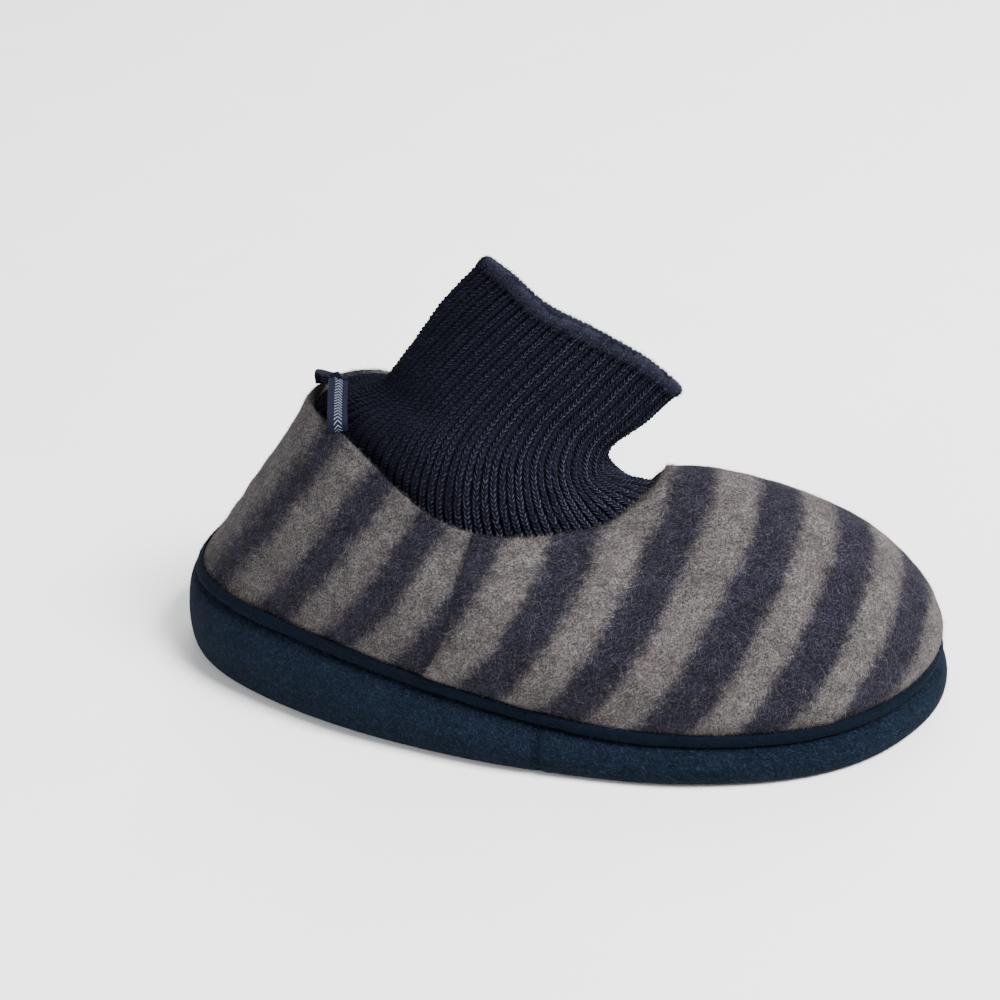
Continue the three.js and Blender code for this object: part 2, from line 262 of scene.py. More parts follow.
def upper_face(turn, v):
    """Outer face of the upper: v runs from the feather edge, 0, to the collar edge, 1."""
    turn, v = np.broadcast_arrays(np.asarray(turn, float), np.asarray(v, float))
    angle = angle_of(turn)

    def handle(column):
        return (HEEL_HEIGHT * read(SECTION, "angle", column, angle))[..., None]

    up = np.array([0.0, 0.0, 1.0])
    foot = feather_edge(turn)
    edge = collar_edge(turn)
    fall = handle("edgeDown") + np.where(is_inner(turn)[..., None], handle("slump"), 0)
    foot_handle = foot + outward(outline, turn) * handle("footOut") + up * handle("footUp")
    edge_handle = edge + outward(collar_edge, turn) * handle("edgeOut") - up * fall
    t = v[..., None]
    return ((1 - t) ** 3 * foot + 3 * (1 - t) ** 2 * t * foot_handle
            + 3 * (1 - t) * t * t * edge_handle + t ** 3 * edge)


def upper_frame(turn, v):
    """Directions up along the upper's section and out of its face."""
    turn, v = np.broadcast_arrays(np.asarray(turn, float), np.asarray(v, float))
    around = upper_face(turn + 0.5, v) - upper_face(turn - 0.5, v)
    low = np.maximum(v - 0.01, 0)
    high = np.minimum(v + 0.01, 1)
    rise = unit(upper_face(turn, high) - upper_face(turn, low))
    return rise, unit(np.cross(around, rise))


def upper_at(turn, v, depth):
    depth = np.asarray(depth, float)
    return upper_face(turn, v) - upper_frame(turn, v)[1] * depth[..., None]


def row_at_height(turn, depth, height):
    """Row of the upper whose point at a depth has a given height, for an array of turns."""
    low = np.zeros(len(turn))
    high = np.full(len(turn), 0.5)
    for _ in range(20):
        middle = 0.5 * (low + high)
        below = upper_at(turn, middle, depth)[:, 2] < height
        low = np.where(below, middle, low)
        high = np.where(below, high, middle)
    return low


def leant(turn, v):
    """A turn moved forward with the lean of the vamp's seam, more towards the collar."""
    forward = VAMP_SEAM_LEAN * v * np.sin(np.radians(angle_of(turn))) ** 2
    return turn + np.where(is_inner(turn), -forward, forward)


def vamp_proud(turn, v):
    past = (angle_of(turn) - VAMP_SEAM_ANGLE) / VAMP_SEAM_RAMP
    return VAMP_STEP * smoothstep(v, 0, 0.12) * smoothstep(past, 0, 1)


def spread(curve, share):
    """Points of a closed curve of turns at shares of its length."""
    turns = np.arange(0, 361.0)
    line = curve(turns)
    lengths = np.concatenate([[0], np.cumsum(np.linalg.norm(np.diff(line, axis=0), axis=1))])
    return curve(np.interp(np.mod(share, 1), lengths / lengths[-1], turns))


def cuff_section(row, turn):
    def cell(column):
        return CUFF[column][row]

    back = np.array([COLLAR_BACK + cell("back") * COLLAR_LENGTH, 0,
                     HEEL_HEIGHT + cell("backUp") * CUFF_HEIGHT])
    front = np.array([COLLAR_BACK + cell("front") * COLLAR_LENGTH, 0,
                      HEEL_HEIGHT + cell("frontUp") * CUFF_HEIGHT])
    radians = np.radians(turn)
    mix = (0.5 - 0.5 * np.cos(radians))[..., None]
    place = back * (1 - mix) + front * mix
    offset = -cell("half") * COLLAR_WIDTH * np.sin(radians)
    place[..., 1] = cell("shift") * COLLAR_WIDTH + offset
    place[..., 2] -= cell("fall") * offset
    return place


def through(knots, t):
    """Centripetal curve through rows of knots, read at t from 0 to 1."""
    before = 2 * knots[:1] - knots[1:2]
    after = 2 * knots[-1:] - knots[-2:-1]
    line = np.concatenate([before, knots, after])
    spans = len(knots) - 1
    place = np.clip(t, 0, 1) * spans
    row = np.minimum(place.astype(int), spans - 1)
    w = (place - row)[:, None, None]
    a, b, c, d = (line[row + k] for k in range(4))

    def pace(p, q):
        return np.sqrt(np.linalg.norm(q - p, axis=-1, keepdims=True))

    ab, bc, cd = pace(a, b), pace(b, c), pace(c, d)
    leave = ((b - a) / ab - (c - a) / (ab + bc) + (c - b) / bc) * bc
    arrive = ((c - b) / bc - (d - b) / (bc + cd) + (d - c) / cd) * bc
    return (b + leave * w + (3 * (c - b) - 2 * leave - arrive) * w ** 2
            + (2 * (b - c) + leave + arrive) * w ** 3)


def crease_height(places, middle, around, rise, crease):
    """Soft trough or ridge of one table row at points near its middle."""
    long, wide, lean, height = crease[2:]
    offset = places - middle
    normal = np.cross(around, rise)
    turned = math.radians(lean)
    along = offset @ (around * math.cos(turned) + rise * math.sin(turned))
    across = offset @ (rise * math.cos(turned) - around * math.sin(turned))
    near = np.exp(-((offset @ normal) / 12.0) ** 2)
    return height * near * np.exp(-(along / long) ** 2 - (across / wide) ** 2)


def wool_creases(face):
    """Height of all the wool's creases at points of the upper's face."""
    total = np.zeros(face.shape[:-1])
    for crease in WOOL_CREASES:
        turn = np.array([crease[0] % 360.0])
        row = np.array([crease[1]])
        turn = leant(turn, row)
        around = unit(upper_face(turn + 0.5, row) - upper_face(turn - 0.5, row))[0]
        rise = upper_frame(turn, row)[0][0]
        total += crease_height(face, upper_face(turn, row)[0], around, rise, crease)
    return total


class CuffCloth:
    """Middle of the cuff's wall as a grid, even along each line from the tuck to the hem."""

    COLUMNS = 720
    ROWS = 200

    def __init__(self):
        share = np.arange(self.COLUMNS) / self.COLUMNS
        middle = UPPER_WALL + FIT_GAP + 0.5 * CUFF_WALL

        def passing(turn):
            return upper_at(turn, 1.0, middle) + CUFF_PASS * upper_frame(turn, 1.0)[0]

        loops = [
            spread(lambda turn: upper_at(turn, CUFF_TUCK, middle), share),
            spread(passing, share),
        ]
        for row in range(len(CUFF["back"])):
            loops.append(spread(lambda turn: cuff_section(row, turn), share))
        line = through(np.array(loops), np.linspace(0, 1, 260))
        steps = np.linalg.norm(np.diff(line, axis=0), axis=2)
        lengths = np.concatenate([np.zeros((1, self.COLUMNS)), np.cumsum(steps, axis=0)])
        self.length = lengths[-1]
        even = np.linspace(0, 1, self.ROWS)
        self.place = np.empty((self.ROWS, self.COLUMNS, 3))
        for k in range(self.COLUMNS):
            for axis in range(3):
                share_up = lengths[:, k] / self.length[k]
                self.place[:, k, axis] = np.interp(even, share_up, line[:, k, axis])
        self.rise = unit(np.gradient(self.place, axis=0))
        self.place += self.rise * self.hem_wave(share, even)[..., None]
        around = np.roll(self.place, -1, axis=1) - np.roll(self.place, 1, axis=1)
        self.rise = unit(np.gradient(self.place, axis=0))
        self.out = unit(np.cross(around, self.rise))
        height = np.zeros(self.place.shape[:-1])
        for crease in KNIT_CREASES:
            middle = self.sample(self.place, np.array([crease[0]]), np.array([crease[1]]))[0]
            rise = self.sample(self.rise, np.array([crease[0]]), np.array([crease[1]]))[0]
            out = self.sample(self.out, np.array([crease[0]]), np.array([crease[1]]))[0]
            height += crease_height(self.place, middle, np.cross(rise, out), rise, crease)
        height *= smoothstep(even, 0.05, 0.2)[:, None]
        self.place += self.out * height[..., None]
        around = np.roll(self.place, -1, axis=1) - np.roll(self.place, 1, axis=1)
        self.rise = unit(np.gradient(self.place, axis=0))
        self.out = unit(np.cross(around, self.rise))

    def hem_wave(self, share, up):
        """How far the slack hem dips, less than nothing, or stands up, in millimetres."""
        along = 2 * np.minimum(share, 1 - share)
        dip = -1.9 * np.exp(-((along - 0.34) / 0.17) ** 2)
        crest = 0.9 * np.exp(-((along - 0.80) / 0.15) ** 2)
        return smoothstep(up, 0.5, 1.0)[:, None] * (dip + crest)[None, :]

    def sample(self, grid, share, up):
        x = np.mod(share, 1) * self.COLUMNS
        y = np.clip(up, 0, 1) * (self.ROWS - 1)
        column = x.astype(int) % self.COLUMNS
        row = np.minimum(y.astype(int), self.ROWS - 2)
        wx = (x - np.floor(x))[..., None]
        wy = (y - row)[..., None]
        beside = (column + 1) % self.COLUMNS
        low = grid[row, column] * (1 - wx) + grid[row, beside] * wx
        high = grid[row + 1, column] * (1 - wx) + grid[row + 1, beside] * wx
        return low * (1 - wy) + high * wy

    def at(self, share, up, height):
        """Point at a height over the middle of the wall. Past 1 the cloth folds over the hem."""
        share, up, height = np.broadcast_arrays(share, up, height)
        columns = np.arange(self.COLUMNS + 1) / self.COLUMNS
        length = np.interp(np.mod(share, 1), columns, np.append(self.length, self.length[0]))
        fold = np.clip((up - 1) * length / (0.5 * HEM_THICKNESS), 0, math.pi)[..., None]
        out = self.sample(self.out, share, up)
        rise = self.sample(self.rise, share, up)
        way = out * np.cos(fold) + rise * np.sin(fold)
        return self.sample(self.place, share, up) + way * height[..., None]


# Making meshes
def find_shift():
    """Sideways step, in millimetres, from these functions' middle line to the solids' frame."""
    turns = np.arange(0, 360, 5.0)
    swell = np.array(PAD_SIDE["swell"])[:, None]
    inset = np.array(PAD_SIDE["inset"])[:, None]
    full = PAD_SWELL * read(OUTLINE, "angle", "swell", angle_of(turns))
    out = (swell * full - inset * EDGE_ROUND)[..., None]
    widest = (outline(turns) + outward(outline, turns) * out)[..., 1].max()
    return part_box("sole")[1][1] / MM - widest


SHIFT = np.array([0.0, find_shift(), 0.0])


def new_mesh(name, places, faces, material, smooth=True):
    """An object from points in millimetres and faces, in the solids' frame."""
    mesh = bpy.data.meshes.new(name)
    mesh.from_pydata(((places + SHIFT) * MM).tolist(), [], faces)
    mesh.materials.append(material)
    mesh.validate()
    mesh.update()
    piece = bpy.data.objects.new(name, mesh)
    bpy.context.collection.objects.link(piece)
    if smooth:
        mesh.shade_smooth()
    return piece


def pick(piece):
    """Selects one object alone and makes it active."""
    bpy.ops.object.select_all(action="DESELECT")
    piece.select_set(True)
    bpy.context.view_layer.objects.active = piece


def store(piece, name, values):
    """Keeps one number for each point as an attribute."""
    layer = piece.data.attributes.new(name, "FLOAT", "POINT")
    layer.data.foreach_set("value", np.asarray(values, np.float32).ravel())


def ring_faces(rings, count, closed):
    """Quads between rings of points that each go once round."""
    k = np.arange(count)
    after = (k + 1) % count
    faces = []
    for ring in range(rings if closed else rings - 1):
        here = ring * count
        there = ((ring + 1) % rings) * count
        quads = np.stack([here + k, here + after, there + after, there + k], axis=1)
        faces.extend(quads.tolist())
    return faces


def wobble(places, scale, seed):
    """Smooth random number from -1 to 1 at points, with waves of about a given length."""
    random = np.random.default_rng(seed)
    total = np.zeros(places.shape[:-1])
    for _ in range(7):
        direction = unit(random.normal(size=3)) * 2 * math.pi / (scale * random.uniform(0.7, 1.5))
        total += np.sin(places @ direction + random.uniform(0, 2 * math.pi))
    return total / 3.5


# Materials
def rgba(colour, gain=1.0):
    return (colour[0] * gain, colour[1] * gain, colour[2] * gain, 1.0)


class Nodes:
    """Short ways to build one material's node tree."""

    def __init__(self, name):
        self.material = bpy.data.materials.new(name)
        self.material.use_nodes = True
        self.tree = self.material.node_tree
        self.shader = self.tree.nodes["Principled BSDF"]
        self.coords = self.tree.nodes.new("ShaderNodeTexCoord").outputs["Object"]

    def link(self, source, target):
        self.tree.links.new(source, target)

    def fill(self, socket, value):
        if hasattr(value, "is_output"):
            self.link(value, socket)
        else:
            socket.default_value = value

    def math(self, operation, first, second=0.0, third=0.0):
        node = self.tree.nodes.new("ShaderNodeMath")
        node.operation = operation
        for socket, value in zip(node.inputs, (first, second, third)):
            self.fill(socket, value)
        return node.outputs[0]

    def vector(self, operation, first, second):
        node = self.tree.nodes.new("ShaderNodeVectorMath")
        node.operation = operation
        self.fill(node.inputs[0], first)
        self.fill(node.inputs[1], second)
        return node.outputs["Value" if operation == "DOT_PRODUCT" else "Vector"]

    def noise(self, size_mm, detail=2.0, rough=0.5, stretch=None, distort=0.0):
        node = self.tree.nodes.new("ShaderNodeTexNoise")
        node.inputs["Scale"].default_value = 1.0 / (size_mm * MM)
        node.inputs["Detail"].default_value = detail
        node.inputs["Roughness"].default_value = rough
        node.inputs["Distortion"].default_value = distort
        coords = self.coords
        if stretch:
            coords = self.vector("MULTIPLY", coords, stretch)
        self.link(coords, node.inputs["Vector"])
        return node.outputs["Fac"]

    def attribute(self, name):
        node = self.tree.nodes.new("ShaderNodeAttribute")
        node.attribute_name = name
        return node.outputs["Fac"]

    def span(self, value, low, high, to_low=0.0, to_high=1.0):
        node = self.tree.nodes.new("ShaderNodeMapRange")
        node.interpolation_type = "SMOOTHSTEP"
        for name, number in (("Value", value), ("From Min", low), ("From Max", high),
                             ("To Min", to_low), ("To Max", to_high)):
            self.fill(node.inputs[name], number)
        return node.outputs["Result"]

    def mix(self, share, first, second, blend="MIX"):
        node = self.tree.nodes.new("ShaderNodeMix")
        node.data_type = "RGBA"
        node.blend_type = blend
        sockets = [s for s in node.inputs if s.type == "RGBA"]
        self.fill(node.inputs["Factor"], share)
        self.fill(sockets[0], first)
        self.fill(sockets[1], second)
        return [s for s in node.outputs if s.type == "RGBA"][0]

    def bands(self, place_mm, table, low, high):
        """1 inside the bands of a table and 0 outside, with soft edges."""
        node = self.tree.nodes.new("ShaderNodeValToRGB")
        ramp = node.color_ramp
        stops = []
        for start, end in table:
            stops += [(start - BAND_EDGE, 0.0), (start + BAND_EDGE, 1.0),
                      (end - BAND_EDGE, 1.0), (end + BAND_EDGE, 0.0)]
        while len(ramp.elements) < len(stops):
            ramp.elements.new(0.5)
        for element, (stop, level) in zip(ramp.elements, stops):
            element.position = (stop - low) / (high - low)
            element.color = (level, level, level, 1.0)
        share = self.math("DIVIDE", self.math("SUBTRACT", place_mm, low), high - low)
        self.link(share, node.inputs["Fac"])
        return node.outputs["Color"]

    def bump(self, height, distance_mm, strength=1.0, under=None):
        node = self.tree.nodes.new("ShaderNodeBump")
        node.inputs["Distance"].default_value = distance_mm * MM
        node.inputs["Strength"].default_value = strength
        self.link(height, node.inputs["Height"])
        if under:
            self.link(under, node.inputs["Normal"])
        return node.outputs["Normal"]

    def finish(self, colour, roughness, normal=None, sheen=0.0, sheen_tint=(1, 1, 1, 1)):
        self.fill(self.shader.inputs["Base Color"], colour)
        self.fill(self.shader.inputs["Roughness"], roughness)
        self.shader.inputs["Specular IOR Level"].default_value = 0.06
        self.shader.inputs["Sheen Weight"].default_value = sheen
        self.shader.inputs["Sheen Roughness"].default_value = 0.6
        self.shader.inputs["Sheen Tint"].default_value = sheen_tint
        if normal:
            self.link(normal, self.shader.inputs["Normal"])
        return self.material


def wool_colour(nodes, colours, stray=0.0):
    """Slanting grey and navy bands with soft, mottled edges. Returns the colour and its grain."""
    wave = nodes.math("MULTIPLY_ADD", nodes.noise(2.4, 3.0, 0.7), 5.0, -2.5)
    drift = nodes.math("MULTIPLY_ADD", nodes.noise(14.0, 1.0), 2.6, -1.3)
    wave = nodes.math("ADD", nodes.math("ADD", wave, drift), stray)

    def slant(across, up):
        along = nodes.vector("DOT_PRODUCT", nodes.coords, (1.0, across, -up))
        along = nodes.math("MULTIPLY_ADD", along, 1.0 / MM, -across * SHIFT[1])
        return nodes.math("ADD", along, wave)

    vamp = nodes.bands(slant(0.146, 0.742), VAMP_BANDS, -50.0, 100.0)
    quarter = nodes.bands(slant(0.153, 0.793), QUARTER_BANDS, -125.0, -25.0)
    past_seam = nodes.math("GREATER_THAN", nodes.attribute("angle"), VAMP_SEAM_ANGLE + 0.5)
    quarter = nodes.math("MULTIPLY", quarter, 0.85)
    share = nodes.math("ADD", nodes.math("MULTIPLY", vamp, past_seam),
                       nodes.math("MULTIPLY", quarter, nodes.math("SUBTRACT", 1.0, past_seam)))
    grain = nodes.noise(0.42, 2.0, 0.7)
    cloud = nodes.noise(4.0, 3.0, 0.6)
    tuft = nodes.span(nodes.noise(1.3, 2.0, 0.6), 0.3, 0.7)
    patch = nodes.span(nodes.noise(4.5, 2.0, 0.6), 0.3, 0.7)
    grey = nodes.mix(nodes.span(grain, 0.38, 0.62), rgba(colours.wool_grey, 0.50),
                     rgba(colours.wool_grey, 1.45))
    grey = nodes.mix(nodes.span(cloud, 0.3, 0.72, 0.0, 0.4), grey, rgba(colours.wool_brown))
    navy = nodes.mix(nodes.span(grain, 0.38, 0.64), rgba(colours.wool_navy, 0.5),
                     rgba(colours.wool_navy, 1.9))
    colour = nodes.mix(share, navy, grey)
    tuft = nodes.mix(tuft, (0.88, 0.88, 0.88, 1.0), (1.10, 1.10, 1.10, 1.0))
    patch = nodes.mix(patch, (0.80, 0.80, 0.80, 1.0), (1.14, 1.14, 1.14, 1.0))
    shade = nodes.mix(1.0, tuft, patch, "MULTIPLY")
    return nodes.mix(1.0, colour, shade, "MULTIPLY"), grain


def wool_cloth(colours):
    """Felted wool under the nap."""
    nodes = Nodes("striped_wool")
    colour, grain = wool_colour(nodes, colours)
    seam = nodes.attribute("seam")
    colour = nodes.mix(nodes.math("MULTIPLY", seam, 0.5), colour, rgba(colours.wool_navy, 0.6))
    normal = nodes.bump(grain, 0.08)
    normal = nodes.bump(nodes.noise(2.4, 2.0), 0.5, 0.6, normal)
    return nodes.finish(colour, 0.95, normal, 0.12, rgba(colours.wool_grey, 1.5))


def wool_nap(colours):
    """Loose fibres of the same bands, each a little lighter or darker."""
    nodes = Nodes("wool_nap")
    tint = nodes.attribute("tint")
    stray = nodes.math("FRACT", nodes.math("MULTIPLY", tint, 17.0))
    colour, _ = wool_colour(nodes, colours, nodes.math("MULTIPLY_ADD", stray, 4.0, -2.0))
    dark = nodes.mix(nodes.span(tint, 0.0, 0.5), (0.15, 0.15, 0.16, 1.0), (1.0, 1.0, 1.0, 1.0))
    light = nodes.mix(nodes.span(tint, 0.5, 1.0), dark, (2.9, 2.85, 2.8, 1.0))
    colour = nodes.mix(1.0, colour, light, "MULTIPLY")
    colour = nodes.mix(nodes.span(tint, 0.86, 1.0, 0.0, 0.5), colour,
                       rgba(colours.wool_grey, 2.6))
    return nodes.finish(colour, 0.9, None, 0.1, rgba(colours.wool_grey, 1.5))


def fleece_colour(nodes, colour, light):
    """Navy fleece, paler where the pile is lifted by brushing and where a painted highlight lies on the
    band's upper shoulder, with painted shade towards the toe.
    """
    cloud = nodes.span(nodes.noise(9.0, 3.0, 0.55), 0.3, 0.72)
    speck = nodes.span(nodes.noise(0.6, 3.0, 0.7), 0.3, 0.72)
    brushed_and_painted_light = nodes.math("MULTIPLY", nodes.math("ADD", cloud, nodes.attribute("brushed_and_painted_light")), 0.5)
    shade = nodes.mix(brushed_and_painted_light, rgba(colour), rgba(light))
    return nodes.mix(nodes.math("MULTIPLY", speck, 0.45), shade, rgba(light, 1.3)), speck


def fleece(name, colour, light):
    nodes = Nodes(name)
    shade, speck = fleece_colour(nodes, colour, light)
    # Painted shade in the recesses: darker at the dent of the band's join and along the sole's top edge
    # under the seam strip
    groove_shade = nodes.attribute("groove_shade")
    shade = nodes.mix(nodes.math("MULTIPLY", groove_shade, 0.85), shade, rgba(colour, 0.25))
    normal = nodes.bump(nodes.noise(0.4, 3.0, 0.65), 0.12)
    normal = nodes.bump(nodes.noise(3.5, 2.0), 0.5, 0.5, normal)
    return nodes.finish(shade, 0.95, normal, 0.1, rgba(light, 2.0))


def fleece_nap(name, colour, light):
    nodes = Nodes(name)
    shade, _ = fleece_colour(nodes, colour, light)
    tint = nodes.attribute("tint")
    shade = nodes.mix(nodes.span(tint, 0.50, 0.0, 0.0, 0.9), shade, rgba(colour, 0.1))
    shade = nodes.mix(nodes.span(tint, 0.60, 1.0, 0.0, 0.8), shade, rgba(light, 4.5))
    return nodes.finish(shade, 0.9, None, 0.1, rgba(light, 2.0))


def knit_ground(colours):
    """Knitted tube behind the stitches, with painted shade in the valleys between its ribs and a paler,
    speckled painted highlight along the hem.
    """
    nodes = Nodes("ribbed_knit")
    height = nodes.attribute("rib")
    speck = nodes.noise(0.4, 3.0, 0.65)
    colour = nodes.mix(nodes.span(height, 0.0, 0.9), rgba(colours.knit, 0.4),
                       rgba(colours.knit, 0.75))
    pale = nodes.mix(nodes.span(speck, 0.3, 0.7), rgba(colours.knit, 0.5),
                     rgba(colours.knit, 1.7))
    # Painted highlight along the folded hem
    colour = nodes.mix(nodes.math("MULTIPLY", nodes.attribute("hem"), 0.8), colour, pale)
    return nodes.finish(colour, 0.9, nodes.bump(speck, 0.2), 0.05, rgba(colours.knit, 3.0))


def knit_yarn(colours):
    """Spun wool yarn, with a painted highlight along the crest of each stitch and painted shade where
    its crest share is low.
    """
    nodes = Nodes("knit_yarn")
    speck = nodes.noise(0.28, 3.0, 0.7)
    crest = nodes.attribute("crest")
    tint = nodes.attribute("tint")
    colour = nodes.mix(nodes.span(speck, 0.3, 0.72), rgba(colours.knit, 0.8),
                       rgba(colours.knit, 1.3))
    shine = nodes.math("MULTIPLY", crest, nodes.math("MULTIPLY_ADD", tint, 0.85, 0.2))
    colour = nodes.mix(shine, colour, rgba(colours.knit_highlight))
    # Painted shade where the crest share is low
    dark = nodes.math("MULTIPLY", nodes.math("SUBTRACT", 1.0, crest), 0.7)
    colour = nodes.mix(dark, colour, rgba(colours.knit, 0.3))
    return nodes.finish(colour, 0.85, nodes.bump(speck, 0.1), 0.08, rgba(colours.knit, 3.0))


def woven_tape(colours):
    """Navy tape with rows of small pale chevrons down its middle."""
    nodes = Nodes("woven_tape")
    across = nodes.attribute("across")
    along = nodes.attribute("along")
    slant = nodes.math("ADD", along, nodes.math("MULTIPLY", nodes.math("ABSOLUTE", across), 0.8))
    cycle = nodes.math("FRACT", nodes.math("MULTIPLY", slant, 1.4))
    chevron = nodes.math("LESS_THAN", cycle, 0.24)
    inside = nodes.math("LESS_THAN", nodes.math("ABSOLUTE", across), 0.8)
    share = nodes.math("MULTIPLY", chevron, inside)
    colour = nodes.mix(share, rgba(colours.tape), rgba(colours.tape_fleck))
    weave = nodes.noise(0.3, 2.0, 0.6)
    return nodes.finish(colour, 0.75, nodes.bump(weave, 0.15))


def underside_cloth(colours):
    """Plain close cloth under the sole, with a fine grain."""
    nodes = Nodes("underside_cloth")
    grain = nodes.noise(0.5, 2.0, 0.6)
    colour = nodes.mix(nodes.span(grain, 0.3, 0.7), rgba(colours.fleece, 0.8),
                       rgba(colours.fleece_light, 0.9))
    return nodes.finish(colour, 0.9, nodes.bump(grain, 0.2))


def floor_paper(colours):
    nodes = Nodes("floor_paper")
    grain = nodes.noise(30.0, 1.0)
    colour = nodes.mix(nodes.span(grain, 0.3, 0.7), rgba(colours.floor, 0.985),
                       rgba(colours.floor))
    return nodes.finish(colour, 0.9)


# Nap
def scatter(piece, count, seed, keep=None):
    """Seeded points on a piece's faces, in millimetres, with normals and the points' numbers."""
    mesh = piece.data
    mesh.calc_loop_triangles()
    triangles = np.empty(len(mesh.loop_triangles) * 3, np.int32)
    mesh.loop_triangles.foreach_get("vertices", triangles)
    triangles = triangles.reshape(-1, 3)
    places = np.empty(len(mesh.vertices) * 3)
    mesh.vertices.foreach_get("co", places)
    places = places.reshape(-1, 3) / MM - SHIFT
    normals = np.empty(len(mesh.vertices) * 3)
    mesh.vertices.foreach_get("normal", normals)
    normals = normals.reshape(-1, 3)
    if keep is not None:
        triangles = triangles[keep[triangles].all(axis=1)]
    corners = places[triangles]
    cross = np.cross(corners[:, 1] - corners[:, 0], corners[:, 2] - corners[:, 0])
    areas = np.linalg.norm(cross, axis=1)
    random = np.random.default_rng(seed)
    chosen = random.choice(len(triangles), count, p=areas / areas.sum())
    w = np.sort(random.random((count, 2)), axis=1)
    w = np.stack([w[:, 0], w[:, 1] - w[:, 0], 1 - w[:, 1]], axis=1)[..., None]
    return ((corners[chosen] * w).sum(axis=1), unit((normals[triangles[chosen]] * w).sum(axis=1)),
            triangles[chosen], w[..., 0], random)


def lay_fibres(name, roots, normals, comb, sizes, random, material, bend=False):
    """One mesh of thin tapered fibres that lie along the comb direction and stand up a little."""
    length, width, lift = sizes
    count = len(roots)
    side = unit(np.cross(comb, normals))
    long = np.reshape(length, (-1, 1)) * random.uniform(0.55, 1.25, (count, 1))
    up = lift * random.uniform(0.2, 1.6, (count, 1))
    tip = roots + comb * long + normals * up
    half = side * 0.5 * width * random.uniform(0.7, 1.3, (count, 1))
    if bend:
        sway = side * random.normal(0, 0.18, (count, 1)) * long
        middle = roots + comb * long * 0.45 + normals * up * 0.9 + sway
        places = np.stack([roots - half, roots + half, middle + 0.7 * half,
                           middle - 0.7 * half, tip + sway * 1.6], axis=1)
        start = 5 * np.arange(count)[:, None]
        faces = (start + np.array([[0, 1, 2]])).tolist()
        faces += (start + np.array([[0, 2, 3]])).tolist() + (start + np.array([[3, 2, 4]])).tolist()
    else:
        places = np.stack([roots - half, roots + half, tip], axis=1)
        faces = np.arange(3 * count).reshape(-1, 3).tolist()
    per = places.shape[1]
    piece = new_mesh(name, places.reshape(-1, 3), faces, material)
    store(piece, "tint", np.repeat(random.random(count), per))
    tilt = unit(normals + random.normal(0, 0.30, (count, 3)))
    piece.data.normals_split_custom_set_from_vertices(np.repeat(tilt, per, axis=0).tolist())
    return piece


def combed(normals, direction, places, scale, swing, random):
    """Directions in the surface near one main direction, swirled in patches."""
    level = unit(direction - normals * (direction * normals).sum(axis=1, keepdims=True))
    side = np.cross(normals, level)
    angle = swing * wobble(places, scale, 5) + random.normal(0, 0.75, len(places))
    return level * np.cos(angle)[:, None] + side * np.sin(angle)[:, None]


# Sizes and colours that a user would change
class SlipperSizes(bpy.types.PropertyGroup):
    nap_length: FloatProperty(name="Nap length", description="Length of the wool's short fibres in mm",
                              default=1.0, min=0.2, max=5.0)
    wisp_length: FloatProperty(name="Wisp length", description="Length of the loose long fibres in mm",
                               default=2.6, min=0.5, max=8.0)
    pile_length: FloatProperty(name="Pile length", description="Length of the sole's fleece pile in mm",
                               default=1.0, min=0.2, max=3.0)
    nap_count: IntProperty(name="Nap fibres", description="Short fibres on the wool",
                                                      default=195000, min=1000, max=199000)
    ribs: IntProperty(name="Ribs", description="Ribs round the cuff", default=88, min=12, max=120)
    courses: IntProperty(name="Courses", description="Rows of stitches up the cuff",
                         default=50, min=10, max=80)


class SlipperColours(bpy.types.PropertyGroup):
    wool_grey: FloatVectorProperty(name="Wool grey", description="Pale stripe", subtype="COLOR",
                                   default=(0.073, 0.067, 0.0665))
    wool_brown: FloatVectorProperty(name="Wool brown", description="Warm flecks of the pale stripe",
                                    subtype="COLOR", default=(0.056, 0.044, 0.042))
    wool_navy: FloatVectorProperty(name="Wool navy", description="Dark stripe", subtype="COLOR",
                                   default=(0.0095, 0.0092, 0.0150))
    fleece: FloatVectorProperty(name="Fleece", description="Fleece of the sole", subtype="COLOR",
                                default=(0.0012, 0.0030, 0.0066))
    # Paler fleece of the lifted pile, also the colour of the sole's painted highlight
    fleece_light: FloatVectorProperty(name="Brushed fleece", description="Brushed fleece of the sole",
                                      subtype="COLOR", default=(0.0044, 0.0082, 0.0158))
    knit: FloatVectorProperty(name="Knit", description="Yarn of the cuff", subtype="COLOR",
                              default=(0.0050, 0.0054, 0.0118))
    # Painted highlight: the pale colour painted on the lit crest of each stitch
    knit_highlight: FloatVectorProperty(name="Knit crest", description="Pale crest of each stitch",
                                    subtype="COLOR", default=(0.050, 0.052, 0.080))
    tape: FloatVectorProperty(name="Tape", description="Hanging loop", subtype="COLOR",
                              default=(0.0045, 0.0055, 0.0140))
    tape_fleck: FloatVectorProperty(name="Tape fleck", description="Pale threads of the loop",
                                    subtype="COLOR", default=(0.15, 0.165, 0.20))
    floor: FloatVectorProperty(name="Floor", description="Pale floor", subtype="COLOR",
                               default=(0.90, 0.90, 0.90))


def settings():
    return bpy.context.scene.slipper_sizes, bpy.context.scene.slipper_colours


